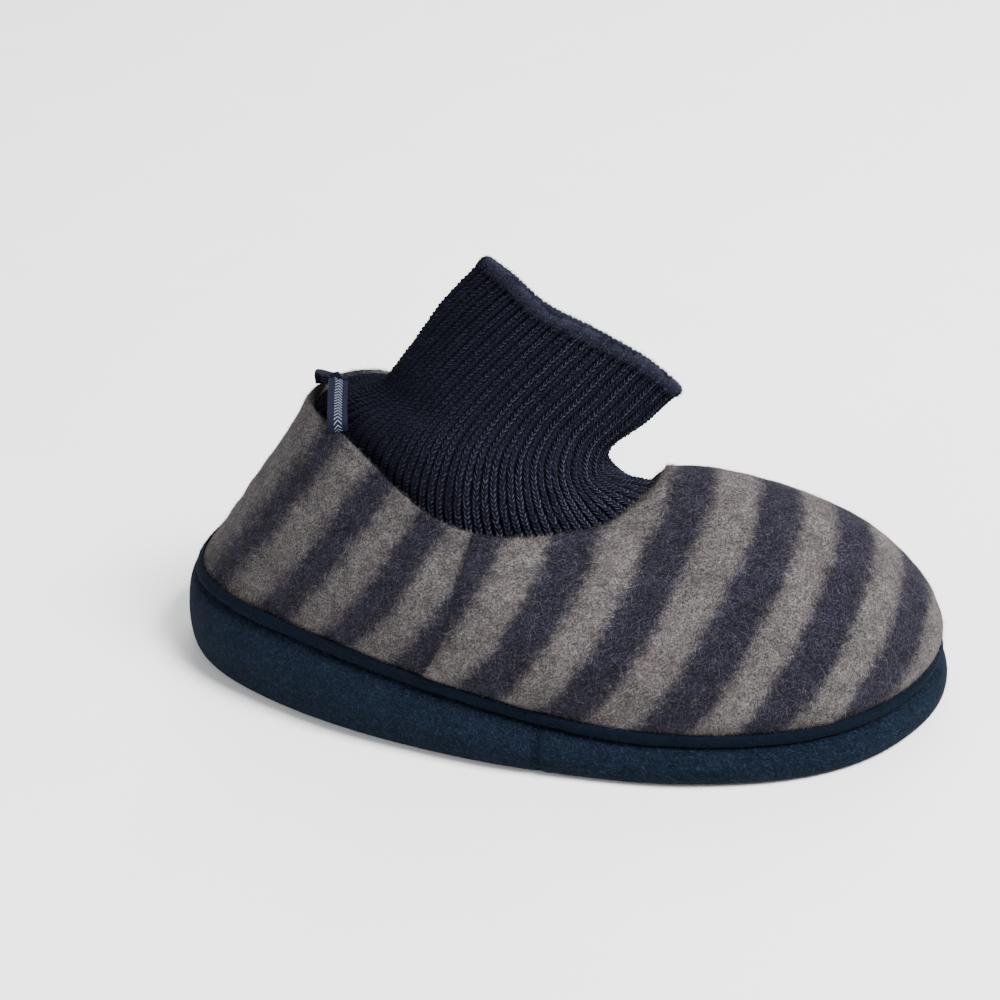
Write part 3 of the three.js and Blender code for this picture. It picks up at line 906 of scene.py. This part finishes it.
class SLIPPER_OT_sole(bpy.types.Operator):
    """Padded sole with its fleece cover, band seam and pile"""

    bl_idname = "slipper.sole"
    bl_label = "Sole"

    def execute(self, context):
        sizes, colours = settings()
        turns = np.arange(0, 360, 1.0)
        full = PAD_SWELL * read(OUTLINE, "angle", "swell", angle_of(turns))
        normal = outward(outline, turns)
        rings = []
        groove_shades = []
        brushed_and_painted_light = []
        rises = np.concatenate([[0, 0.012, 0.03, 0.06], np.linspace(0.1, 0.94, 22), [0.97, 1.0]])
        join = (angle_of(turns) - 94.0) * 1.25
        near = ~is_inner(turns)
        for rise in rises:
            inset = read(PAD_SIDE, "rise", "inset", rise) * EDGE_ROUND
            swell = read(PAD_SIDE, "rise", "swell", rise) * full
            ring = outline(turns) + normal * (swell - inset)[:, None]
            ring[:, 2] = rise * pad_top(ring[:, 0])
            dent = 0.55 * np.exp(-(join / 0.55) ** 2) * near * smoothstep(rise, 0, 0.15)
            soft = 0.28 * wobble(ring, 26.0, 3) * math.sin(math.pi * rise)
            rings.append(ring + normal * (soft - dent)[:, None])
            # Painted shade at the dent of the band's join and along the top edge under the seam strip
            groove_shades.append(np.maximum(0.8 * np.exp(-(join / 0.35) ** 2) * near,
                                      0.45 * smoothstep(rise, 0.86, 0.97)))
            # Paler shoulder of the band: partly lifted pile, partly a painted highlight where the band
            # faces up, with painted shade keeping it darker towards the toe
            pale = smoothstep(rise, 0.30, 0.62) * smoothstep(rise, 1.0, 0.84)
            brushed_and_painted_light.append(pale * (1 - 0.9 * smoothstep(ring[:, 0], 5.0, 55.0)))
        count = len(turns)
        middle = rings[-1].mean(axis=0) * [1, 1, 0]
        places = np.concatenate(rings)
        top = (len(rises) - 1) * count
        faces = ring_faces(len(rises), count, False)
        half = count // 2
        for base, flip in ((0, True), (top, False)):
            for k in range(half):
                strip = [base + k, base + k + 1, base + (count - k - 1) % count,
                         base + (count - k) % count]
                if k == 0:
                    strip = strip[:3]
                if k == half - 1:
                    strip = [strip[0], strip[1], strip[3]]
                faces.append(strip[::-1] if flip else strip)
        piece = new_mesh("sole_body", places, faces, fleece("sole_fleece", colours.fleece,
                                                             colours.fleece_light))
        piece.data.materials.append(underside_cloth(colours))
        for face in piece.data.polygons:
            if face.normal.z < -0.95:
                face.material_index = 1
        pick(piece)
        bpy.ops.object.shade_smooth_by_angle(angle=math.radians(50))
        store(piece, "groove_shade", np.concatenate(groove_shades))
        store(piece, "brushed_and_painted_light", np.concatenate(brushed_and_painted_light))
        brushed_and_painted_light = np.concatenate(brushed_and_painted_light)
        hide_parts("sole")
        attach(piece, "root")
        nap = self.pile(piece, brushed_and_painted_light, sizes, colours)
        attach(nap, "root")
        return {"FINISHED"}

    def pile(self, piece, brushed_and_painted_light, sizes, colours):
        places = np.array([v.co for v in piece.data.vertices]) / MM
        roots, normals, corners, share, random = scatter(piece, 230000, 11, places[:, 2] > 0.35)
        side = normals[:, 2] < 0.9
        roots = roots[side]
        normals = normals[side]
        brushed_and_painted_light = (brushed_and_painted_light[corners[side]] * share[side]).sum(axis=1)
        drop = np.tile([0.85, 0.0, -0.45], (len(roots), 1))
        comb = combed(normals, drop, roots, 9.0, 0.6, random)
        material = fleece_nap("sole_pile", colours.fleece, colours.fleece_light)
        size = (sizes.pile_length, 0.075, 0.07)
        nap = lay_fibres("sole_pile", roots, normals, comb, size, random, material)
        store(nap, "brushed_and_painted_light", np.repeat(brushed_and_painted_light, 3))
        return nap


class SLIPPER_OT_seam_roll(bpy.types.Operator):
    """Narrow fleece strip in the seam between upper and sole"""

    bl_idname = "slipper.seam_roll"
    bl_label = "Seam roll"

    def execute(self, context):
        sizes, colours = settings()
        turns = np.arange(0, 360, 1.0)
        full = smoothstep(angle_of(turns), 0, ROLL_HEEL_ANGLE)
        half = 0.5 * ROLL_THICKNESS * (ROLL_HEEL_SHARE + (1 - ROLL_HEEL_SHARE) * full)
        offset = SEAT_GAP + half
        height = feather_edge(turns)[:, 2] + 0.5 * ROLL_HEIGHT - 0.3
        v = row_at_height(turns, -offset, height)
        reach = np.linalg.norm(upper_face(turns, v + 0.01) - upper_face(turns, v), axis=1)
        per_mm = 0.01 / reach
        normal = upper_frame(turns, v)[1]
        rings = []
        for around in np.linspace(0, 2 * math.pi, 14, endpoint=False):
            across = half * math.cos(around)
            up = 0.5 * (ROLL_HEIGHT + 0.4) * math.sin(around)
            ring = upper_at(turns, v + up * per_mm, -0.7 * offset - across)
            rings.append(ring + normal * (0.12 * wobble(ring, 7.0, 9))[:, None])
        places = np.concatenate(rings)
        piece = new_mesh("seam_strip", places, ring_faces(14, len(turns), True),
                         fleece("seam_fleece", rgba(colours.fleece, 0.9), rgba(colours.fleece, 1.5)))
        store(piece, "groove_shade", np.zeros(len(places)))
        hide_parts("seam_roll")
        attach(piece, "root")
        roots, normals, _, _, random = scatter(piece, 22000, 12)
        drop = np.tile([0.3, 0.0, -0.6], (len(roots), 1))
        comb = combed(normals, drop, roots, 5.0, 1.0, random)
        nap = lay_fibres("seam_pile", roots, normals, comb, (0.9, 0.05, 0.35), random,
                         fleece_nap("seam_pile", rgba(colours.fleece, 0.9), rgba(colours.fleece, 1.5)))
        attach(nap, "root")
        return {"FINISHED"}


class SLIPPER_OT_upper(bpy.types.Operator):
    """Striped wool upper, its side seams and its nap"""

    bl_idname = "slipper.upper"
    bl_label = "Upper"

    ROWS = 70
    INNER_ROWS = 16

    def outer_height(self, turn, v):
        """Soft troughs and ridges of the worn wool, in millimetres."""
        face = upper_face(leant(turn, v), v)
        soft = wool_creases(face) + 0.25 * wobble(face, 24.0, 21) + 0.12 * wobble(face, 6.0, 22)
        edge = smoothstep(v, 0.0, 0.15) * smoothstep(1 - v, 0.0, 0.1)
        seam = np.exp(-((angle_of(turn) - VAMP_SEAM_ANGLE) / 0.7) ** 2)
        return vamp_proud(turn, v) + soft * edge - 0.35 * seam * smoothstep(v, 0, 0.1)

    def execute(self, context):
        sizes, colours = settings()
        turns = np.arange(0, 360, 1.0)
        count = len(turns)
        rings = []
        rows = []
        for v in np.linspace(0, 1, self.ROWS):
            level = np.full(count, v)
            height = self.outer_height(turns, level)
            rings.append(upper_at(leant(turns, level), level, -height))
            rows.append(level)
        top = rings[-1]
        below = upper_at(leant(turns, 1.0), np.ones(count), np.full(count, UPPER_WALL))
        for step in (0.2, 0.5, 0.8):
            lifted = top * (1 - step) + below * step
            lifted[:, 2] += RIM_ROUND * math.sin(math.pi * step)
            rings.append(lifted)
            rows.append(np.full(count, 1.0))
        for v in np.linspace(1, 0, self.INNER_ROWS):
            level = np.full(count, v)
            depth = np.full(count, UPPER_WALL)
            rings.append(upper_at(leant(turns, level), level, depth))
            rows.append(np.full(count, -1.0))
        for ring in (rings[0], rings[-1]):
            ring[:, 2] = feather_edge(turns)[:, 2]
        places = np.concatenate(rings)
        material = wool_cloth(colours)
        piece = new_mesh("upper_wool", places, ring_faces(len(rings), count, True), material)
        angle = np.tile(angle_of(turns), len(rings))
        row = np.concatenate(rows)
        store(piece, "angle", angle)
        store(piece, "seam", np.exp(-((angle - VAMP_SEAM_ANGLE) / 0.6) ** 2) * (row >= 0))
        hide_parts("upper")
        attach(piece, "root")
        self.nap(piece, row, angle, sizes, colours)
        return {"FINISHED"}

    def nap(self, piece, row, angle, sizes, colours):
        material = wool_nap(colours)
        outside = row > 0.02
        roots_of = {"wool_nap_rim": row > 0.985, "wool_nap_hang": (row >= 0) & (row < 0.09)}
        layers = (
            ("wool_nap_rim", 16000, 34, (1.2, 0.05, 0.35), 1.2, False),
            ("wool_nap_short", sizes.nap_count, 31, (sizes.nap_length, 0.042, 0.10), 0.5, False),
            ("wool_nap_under", 90000, 33, (0.8 * sizes.nap_length, 0.04, 0.14), 0.7, False),
            ("wool_nap_hang", 12000, 35, (1.9, 0.05, 0.30), 0.5, False),
            ("wool_nap_wisps", 20000, 32, (sizes.wisp_length, 0.04, 0.45), 0.8, True),
        )
        for name, count, seed, size, swing, bend in layers:
            keep = roots_of.get(name, outside)
            roots, normals, corners, share, random = scatter(piece, count, seed, keep)
            way = [0.3, 0.0, 0.95] if name == "wool_nap_rim" else [-0.5, 0.0, -0.75]
            comb = combed(normals, np.tile(way, (len(roots), 1)), roots, 8.0, swing, random)
            nap = lay_fibres(name, roots, normals, comb, size, random, material, bend)
            per = len(nap.data.vertices) // len(roots)
            store(nap, "angle", np.repeat((angle[corners] * share).sum(axis=1), per))
            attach(nap, "root")


class SLIPPER_OT_insole(bpy.types.Operator):
    """Soft footbed, from a smoothed copy of its solid"""

    bl_idname = "slipper.insole"
    bl_label = "Insole"

    def execute(self, context):
        sizes, colours = settings()
        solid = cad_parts["insole"]
        pick(solid)
        bpy.ops.object.duplicate()
        piece = context.view_layer.objects.active
        piece.name = "insole_pad"
        pick(piece)
        bpy.ops.object.mode_set(mode="EDIT")
        bpy.ops.mesh.select_all(action="SELECT")
        bpy.ops.mesh.remove_doubles(threshold=0.00001)
        bpy.ops.mesh.tris_convert_to_quads()
        bpy.ops.object.mode_set(mode="OBJECT")
        bpy.ops.object.modifier_add(type="SUBSURF")
        smooth = piece.modifiers[-1]
        smooth.levels = 2
        smooth.render_levels = 2
        bpy.ops.object.modifier_apply(modifier=smooth.name)
        bpy.ops.object.shade_smooth()
        piece.data.materials.clear()
        piece.data.materials.append(fleece("insole_fleece", colours.fleece_light,
                                           rgba(colours.fleece_light, 2.0)))
        store(piece, "groove_shade", np.zeros(len(piece.data.vertices)))
        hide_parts("insole")
        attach(piece, "root")
        return {"FINISHED"}


class SLIPPER_OT_cuff(bpy.types.Operator):
    """Ribbed knit cuff: the tube, its stitches and its fuzz"""

    bl_idname = "slipper.cuff"
    bl_label = "Cuff"

    OUTER_ROWS = 60
    INNER_ROWS = 18
    HEM_STEPS = 9
    HEM_SHARE = 0.035

    def rib_height(self, share, up, ribs):
        """Height of the ribs from 0 in a valley to 1, with deeper valleys higher up."""
        rib = np.power(0.5 - 0.5 * np.cos(2 * math.pi * share * ribs), 0.7)
        return rib * (1 - 0.9 * self.valley(share, up, ribs))

    def valley(self, share, up, ribs):
        """1 in the deep valleys between pairs of ribs, which open towards the hem."""
        aside = np.abs(np.mod(0.5 * share * ribs + 0.5, 1) - 0.5)
        return np.exp(-(aside / 0.13) ** 2) * smoothstep(up, 0.25, 0.65)

    def relief(self, share, up, ribs):
        hem = smoothstep(up, 1 - self.HEM_SHARE, 1 - 0.4 * self.HEM_SHARE)
        relief = self.rib_height(share, up, ribs) * 0.62 - 0.55
        return (relief - 0.55 * self.valley(share, up, ribs)) * (1 - 0.7 * hem)

    def shade(self, place):
        """Painted shade: share of the yarn's full paleness, with the knit darker behind and towards the
        tip, where less light falls.
        """
        return 0.12 + 0.88 * smoothstep(place[..., 0] - 0.35 * (place[..., 2] - 60), -42.0, 4.0)

    def half_wall(self, up):
        hem = smoothstep(up, 1 - self.HEM_SHARE, 1 - 0.3 * self.HEM_SHARE)
        return 0.5 * (CUFF_WALL + 0.7 * (HEM_THICKNESS - CUFF_WALL) * hem)

    def fold_share(self, cloth):
        """Length of the cloth that folds over the hem, as a share of the cuff's height."""
        return 0.5 * math.pi * HEM_THICKNESS / cloth.length.mean()

    def execute(self, context):
        sizes, colours = settings()
        cloth = CuffCloth()
        self.tube(cloth, sizes, colours)
        self.stitches(cloth, sizes, colours)
        return {"FINISHED"}

    def tube(self, cloth, sizes, colours):
        ribs = sizes.ribs
        count = ribs * 4
        share = np.arange(count) / count
        rings = []
        rib = []
        hems = []
        for up in np.linspace(0, 1, self.OUTER_ROWS):
            rings.append(cloth.at(share, up, self.half_wall(up) + self.relief(share, up, ribs)))
            rib.append(self.rib_height(share, up, ribs))
            hems.append(np.full(count, smoothstep(up, 1 - self.HEM_SHARE, 1)))
        for over in np.linspace(0, self.fold_share(cloth), self.HEM_STEPS + 2)[1:-1]:
            up = 1 + over
            rings.append(cloth.at(share, up, self.half_wall(up) + self.relief(share, up, ribs)))
            rib.append(self.rib_height(share, up, ribs))
            hems.append(np.ones(count))
        for up in np.linspace(1, 0, self.INNER_ROWS):
            rings.append(cloth.at(share, up, 0.3 * self.relief(share, up, ribs)
                                  - self.half_wall(up)))
            rib.append(self.rib_height(share, up, ribs))
            hems.append(np.zeros(count))
        piece = new_mesh("cuff_tube", np.concatenate(rings),
                         ring_faces(len(rings), count, True), knit_ground(colours))
        # rib carries the tube's painted shade in the valleys, hem its painted highlight
        store(piece, "rib", np.concatenate(rib))
        store(piece, "hem", np.concatenate(hems))
        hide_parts("cuff")
        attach(piece, "root")
        outside = np.concatenate(hems) >= 0
        outside[(self.OUTER_ROWS + self.HEM_STEPS) * count:] = False
        outside[:8 * count] = False
        roots, normals, _, _, random = scatter(piece, 13000, 41, outside)
        up = np.tile([0.4, 0.0, 0.9], (len(roots), 1))
        comb = combed(normals, up, roots, 4.0, 2.4, random)
        fuzz = lay_fibres("cuff_fuzz", roots, normals, comb, (0.9, 0.04, 0.5), random,
                          knit_yarn(colours), True)
        # The cuff's fuzz gets a fixed share of the stitches' painted highlight
        store(fuzz, "crest", np.full(len(fuzz.data.vertices), 0.6))
        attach(fuzz, "root")
        edge = np.concatenate(hems) > 0.5
        roots, normals, _, _, random = scatter(piece, 16000, 42, edge)
        comb = combed(normals, np.tile([0.8, 0.0, -0.5], (len(roots), 1)), roots, 4.0, 2.4, random)
        fuzz = lay_fibres("hem_fuzz", roots, normals, comb, (0.7, 0.05, 0.42), random,
                          knit_yarn(colours))
        # The hem's fuzz gets a fixed share of the stitches' painted highlight
        store(fuzz, "crest", np.full(len(fuzz.data.vertices), 0.7))
        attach(fuzz, "root")

    def stitches(self, cloth, sizes, colours):
        """Pairs of slanting yarn legs up every rib, outside only."""
        ribs = sizes.ribs
        courses = sizes.courses
        start = 0.045
        step = (1 - start) / courses
        folded = int(0.95 * self.fold_share(cloth) / step)
        wale, course, leg = np.meshgrid(np.arange(ribs), np.arange(courses + folded), (-1, 1),
                                        indexing="ij")
        wale, course, leg = (a.ravel() for a in (wale, course, leg))
        random = np.random.default_rng(51)
        count = len(wale)
        # Along the leg: how far up, how far out from the rib's middle, height and thickness
        profile = np.array([
            (-0.20, 0.02, -0.12, 0.0),
            (0.05, 0.09, 0.05, 0.9),
            (0.45, 0.22, 0.12, 1.0),
            (0.85, 0.34, 0.05, 0.9),
            (1.15, 0.42, -0.14, 0.0),
        ])
        sides = 5
        jitter = random.normal(0, 0.06, (count, 2))
        out = []
        lit = []
        for up, off, height, thick in profile:
            share = (wale + 0.5 + leg * off + jitter[:, 0]) / ribs
            level = start + (course + up + jitter[:, 1]) * step
            fold = 1 - 0.6 * smoothstep(level, 0.985, 1.015)
            base = self.half_wall(level) + self.relief(share, level, ribs)
            centre_height = base + height * fold
            smooth = (wale % 2) * smoothstep(level, 0.30, 0.60)
            centre_height = centre_height - 0.16 * smooth
            place = cloth.sample(cloth.place, share, level)
            shade = self.shade(place)
            # Painted shade: darker in the deep valleys, on the lower wale of each pair, and behind and
            # towards the tip
            lit.append((1 - 0.85 * self.valley(share, level, ribs)) * (1 - 0.55 * smooth) * shade)
            if thick == 0:
                out.append(cloth.at(share, level, centre_height)[:, None])
                continue
            ring = []
            for side in range(sides):
                turn = 2 * math.pi * (side + 0.5) / sides
                across = 0.095 * thick * math.cos(turn)
                tall = 0.19 * thick * math.sin(turn) * fold
                ring.append(cloth.at(share + across / ribs, level, centre_height + tall))
            out.append(np.stack(ring, axis=1))
        places = np.concatenate(out, axis=1)
        per = places.shape[1]
        # Painted highlight on the upper side of each leg, painted shade on its underside and at its
        # ends
        sines = np.sin(2 * math.pi * (np.arange(sides) + 0.5) / sides)
        flank_highlight = np.clip(0.45 + 0.6 * sines, 0, 1)
        crest = np.concatenate([[0.0], 0.6 * flank_highlight, flank_highlight, 0.6 * flank_highlight, [0.0]])
        lit = np.repeat(np.stack(lit, axis=1), (1, sides, sides, sides, 1), axis=1)
        crest = crest[None, :] * lit
        quads = []
        k = np.arange(sides)
        after = (k + 1) % sides
        tips = np.stack([np.zeros(sides, int), 1 + after, 1 + k], axis=1)
        last = per - 1
        inner = 1 + 2 * sides
        ends = np.stack([np.full(sides, last), inner + k, inner + after], axis=1)
        for ring in (1, 1 + sides):
            quads.append(np.stack([ring + k, ring + after, ring + sides + after,
                                   ring + sides + k], axis=1))
        quads = np.concatenate(quads)
        tint = np.clip(random.normal(0.5, 0.3, count) + random.normal(0, 0.2, ribs)[wale], 0, 1)
        facing = cloth.sample(cloth.out, (wale + 0.5) / ribs, (course + 0.5) / courses)[:, 1]
        material = knit_yarn(colours)
        for name, keep in (("cuff_stitches_outer", facing < 0), ("cuff_stitches_inner", facing >= 0)):
            number = int(keep.sum())
            base = (per * np.arange(number))[:, None, None]
            faces = (base + tips[:, ::-1]).reshape(-1, 3).tolist()
            faces += (base + ends[:, ::-1]).reshape(-1, 3).tolist()
            faces += (base + quads[:, ::-1]).reshape(-1, 4).tolist()
            piece = new_mesh(name, places[keep].reshape(-1, 3), faces, material)
            store(piece, "tint", np.repeat(tint[keep], per))
            store(piece, "crest", crest[keep])
            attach(piece, "root")


class SLIPPER_OT_hang_loop(bpy.types.Operator):
    """Woven tape loop at the back of the collar"""

    bl_idname = "slipper.hang_loop"
    bl_label = "Hanging loop"

    def foot(self, turn):
        turn = np.array([float(turn)])
        place = upper_at(turn, np.ones(1), np.full(1, 0.5 * UPPER_WALL))[0]
        place[2] += RIM_ROUND + SEAT_GAP
        return place

    def execute(self, context):
        sizes, colours = settings()
        outer = self.foot(LOOP_PLACE + LOOP_SPREAD)
        inner = self.foot(LOOP_PLACE - LOOP_SPREAD)
        crown = 0.5 * (outer + inner) + [LOOP_LEAN, 0, LOOP_HEIGHT]

        def raised(end, share, reach):
            place = end * (1 - reach) + crown * reach
            place[2] = end[2] + share * LOOP_HEIGHT
            return place

        knots = np.array([outer, raised(outer, 0.3, 0), raised(outer, 0.75, 0.55), crown,
                          raised(inner, 0.75, 0.55), raised(inner, 0.3, 0), inner])
        line = through(knots[:, None, :], np.linspace(0, 1, 90))[:, 0]
        tangent = unit(np.gradient(line, axis=0))
        span = unit(inner - outer)
        flat = unit(np.cross(tangent, np.cross(tangent, span) + 0.0))
        width = unit(np.cross(tangent, np.array([0, 0, 1.0]) * 0.2 + flat))
        normal = unit(np.cross(width, tangent))
        rings = []
        across = []
        for share in np.linspace(-1, 1, 9):
            thin = LOOP_THICKNESS * 0.5 * (1 - 0.35 * abs(share) ** 3)
            rings.append(line + width * share * 0.5 * LOOP_WIDTH + normal * thin)
            across.append(np.full(len(line), share * 0.5 * LOOP_WIDTH))
        for share in np.linspace(1, -1, 9):
            thin = LOOP_THICKNESS * 0.5 * (1 - 0.35 * abs(share) ** 3)
            rings.append(line + width * share * 0.5 * LOOP_WIDTH - normal * thin)
            across.append(np.full(len(line), share * 0.5 * LOOP_WIDTH))
        places = np.concatenate(rings)
        steps = len(line)
        faces = []
        for ring in range(len(rings)):
            here = ring * steps
            there = ((ring + 1) % len(rings)) * steps
            for k in range(steps - 1):
                faces.append((here + k, here + k + 1, there + k + 1, there + k))
        faces.append([ring * steps for ring in range(len(rings))])
        faces.append([ring * steps + steps - 1 for ring in reversed(range(len(rings)))])
        piece = new_mesh("loop_tape", places, faces, woven_tape(colours))
        pick(piece)
        bpy.ops.object.mode_set(mode="EDIT")
        bpy.ops.mesh.select_all(action="SELECT")
        bpy.ops.mesh.normals_make_consistent(inside=False)
        bpy.ops.object.mode_set(mode="OBJECT")
        bpy.ops.object.shade_smooth_by_angle(angle=math.radians(40))
        lengths = np.concatenate([[0], np.cumsum(np.linalg.norm(np.diff(line, axis=0), axis=1))])
        store(piece, "along", np.tile(lengths, len(rings)))
        store(piece, "across", np.concatenate(across))
        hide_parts("hang_loop")
        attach(piece, "root")
        return {"FINISHED"}


class SLIPPER_OT_stage(bpy.types.Operator):
    """Pale floor, soft light and the camera at the photograph's angle"""

    bl_idname = "slipper.stage"
    bl_label = "Stage"

    AZIMUTH = 16.2
    ELEVATION = 31.3
    ROLL = -3.6
    DISTANCE = 421.2
    AIM = (-11.0, 0.0, 37.3)
    LENS = 72.0

    def execute(self, context):
        sizes, colours = settings()
        bpy.ops.mesh.primitive_plane_add(size=6.0, location=(0, 0, 0))
        floor = context.view_layer.objects.active
        floor.name = "floor"
        floor.data.materials.append(floor_paper(colours))
        self.light("key", (0.90, -0.20, 1.20), 0.6, 80.0)
        self.light("fill", (-1.10, -0.60, 0.45), 0.8, 10.0)
        self.light("back", (-0.10, 0.95, 0.95), 0.8, 14.0)
        world = bpy.data.worlds.new("soft_room")
        context.scene.world = world
        world.use_nodes = True
        sky = world.node_tree.nodes["Background"]
        sky.inputs["Color"].default_value = (0.95, 0.97, 1.0, 1.0)
        sky.inputs["Strength"].default_value = 0.55
        self.camera(context)
        return {"FINISHED"}

    def light(self, name, place, size, power):
        bpy.ops.object.light_add(type="AREA", location=place)
        lamp = bpy.context.view_layer.objects.active
        lamp.name = name
        lamp.data.size = size
        lamp.data.energy = power
        lamp.rotation_euler = (Vector((0, 0, 0.03)) - Vector(place)).to_track_quat("-Z", "Y").to_euler()

    def camera(self, context):
        side = math.radians(self.AZIMUTH)
        high = math.radians(self.ELEVATION)
        roll = math.radians(self.ROLL)
        back = Vector((math.sin(side) * math.cos(high), -math.cos(side) * math.cos(high),
                       math.sin(high)))
        right = Vector((math.cos(side), math.sin(side), 0))
        up = back.cross(right)
        across = right * math.cos(roll) + up * math.sin(roll)
        upright = up * math.cos(roll) - right * math.sin(roll)
        place = (Vector(self.AIM) + Vector(SHIFT) + back * self.DISTANCE) * MM
        bpy.ops.object.camera_add()
        camera = context.view_layer.objects.active
        axes = Matrix((across, upright, back)).transposed().to_4x4()
        camera.matrix_world = Matrix.Translation(place) @ axes
        camera.data.lens = self.LENS
        camera.data.sensor_width = 36.0
        camera.data.clip_start = 0.01
        context.scene.camera = camera


class SLIPPER_PT_panel(bpy.types.Panel):
    """Lists the slipper's pieces"""

    bl_idname = "SLIPPER_PT_panel"
    bl_label = "Slipper sock"
    bl_space_type = "VIEW_3D"
    bl_region_type = "UI"
    bl_category = "Slipper"

    def draw(self, context):
        for operator in OPERATORS:
            self.layout.operator(operator.bl_idname)


OPERATORS = (
    SLIPPER_OT_sole,
    SLIPPER_OT_seam_roll,
    SLIPPER_OT_upper,
    SLIPPER_OT_insole,
    SLIPPER_OT_cuff,
    SLIPPER_OT_hang_loop,
    SLIPPER_OT_stage,
)
CLASSES = (SlipperSizes, SlipperColours, *OPERATORS, SLIPPER_PT_panel)


def register():
    for each in CLASSES:
        bpy.utils.register_class(each)
    bpy.types.Scene.slipper_sizes = PointerProperty(type=SlipperSizes)
    bpy.types.Scene.slipper_colours = PointerProperty(type=SlipperColours)


def unregister():
    del bpy.types.Scene.slipper_sizes
    del bpy.types.Scene.slipper_colours
    for each in reversed(CLASSES):
        bpy.utils.unregister_class(each)


def main():
    register()
    bpy.ops.slipper.sole()
    bpy.ops.slipper.seam_roll()
    bpy.ops.slipper.upper()
    bpy.ops.slipper.insole()
    bpy.ops.slipper.cuff()
    bpy.ops.slipper.hang_loop()
    bpy.ops.slipper.stage()


if __name__ == "__main__":
    main()
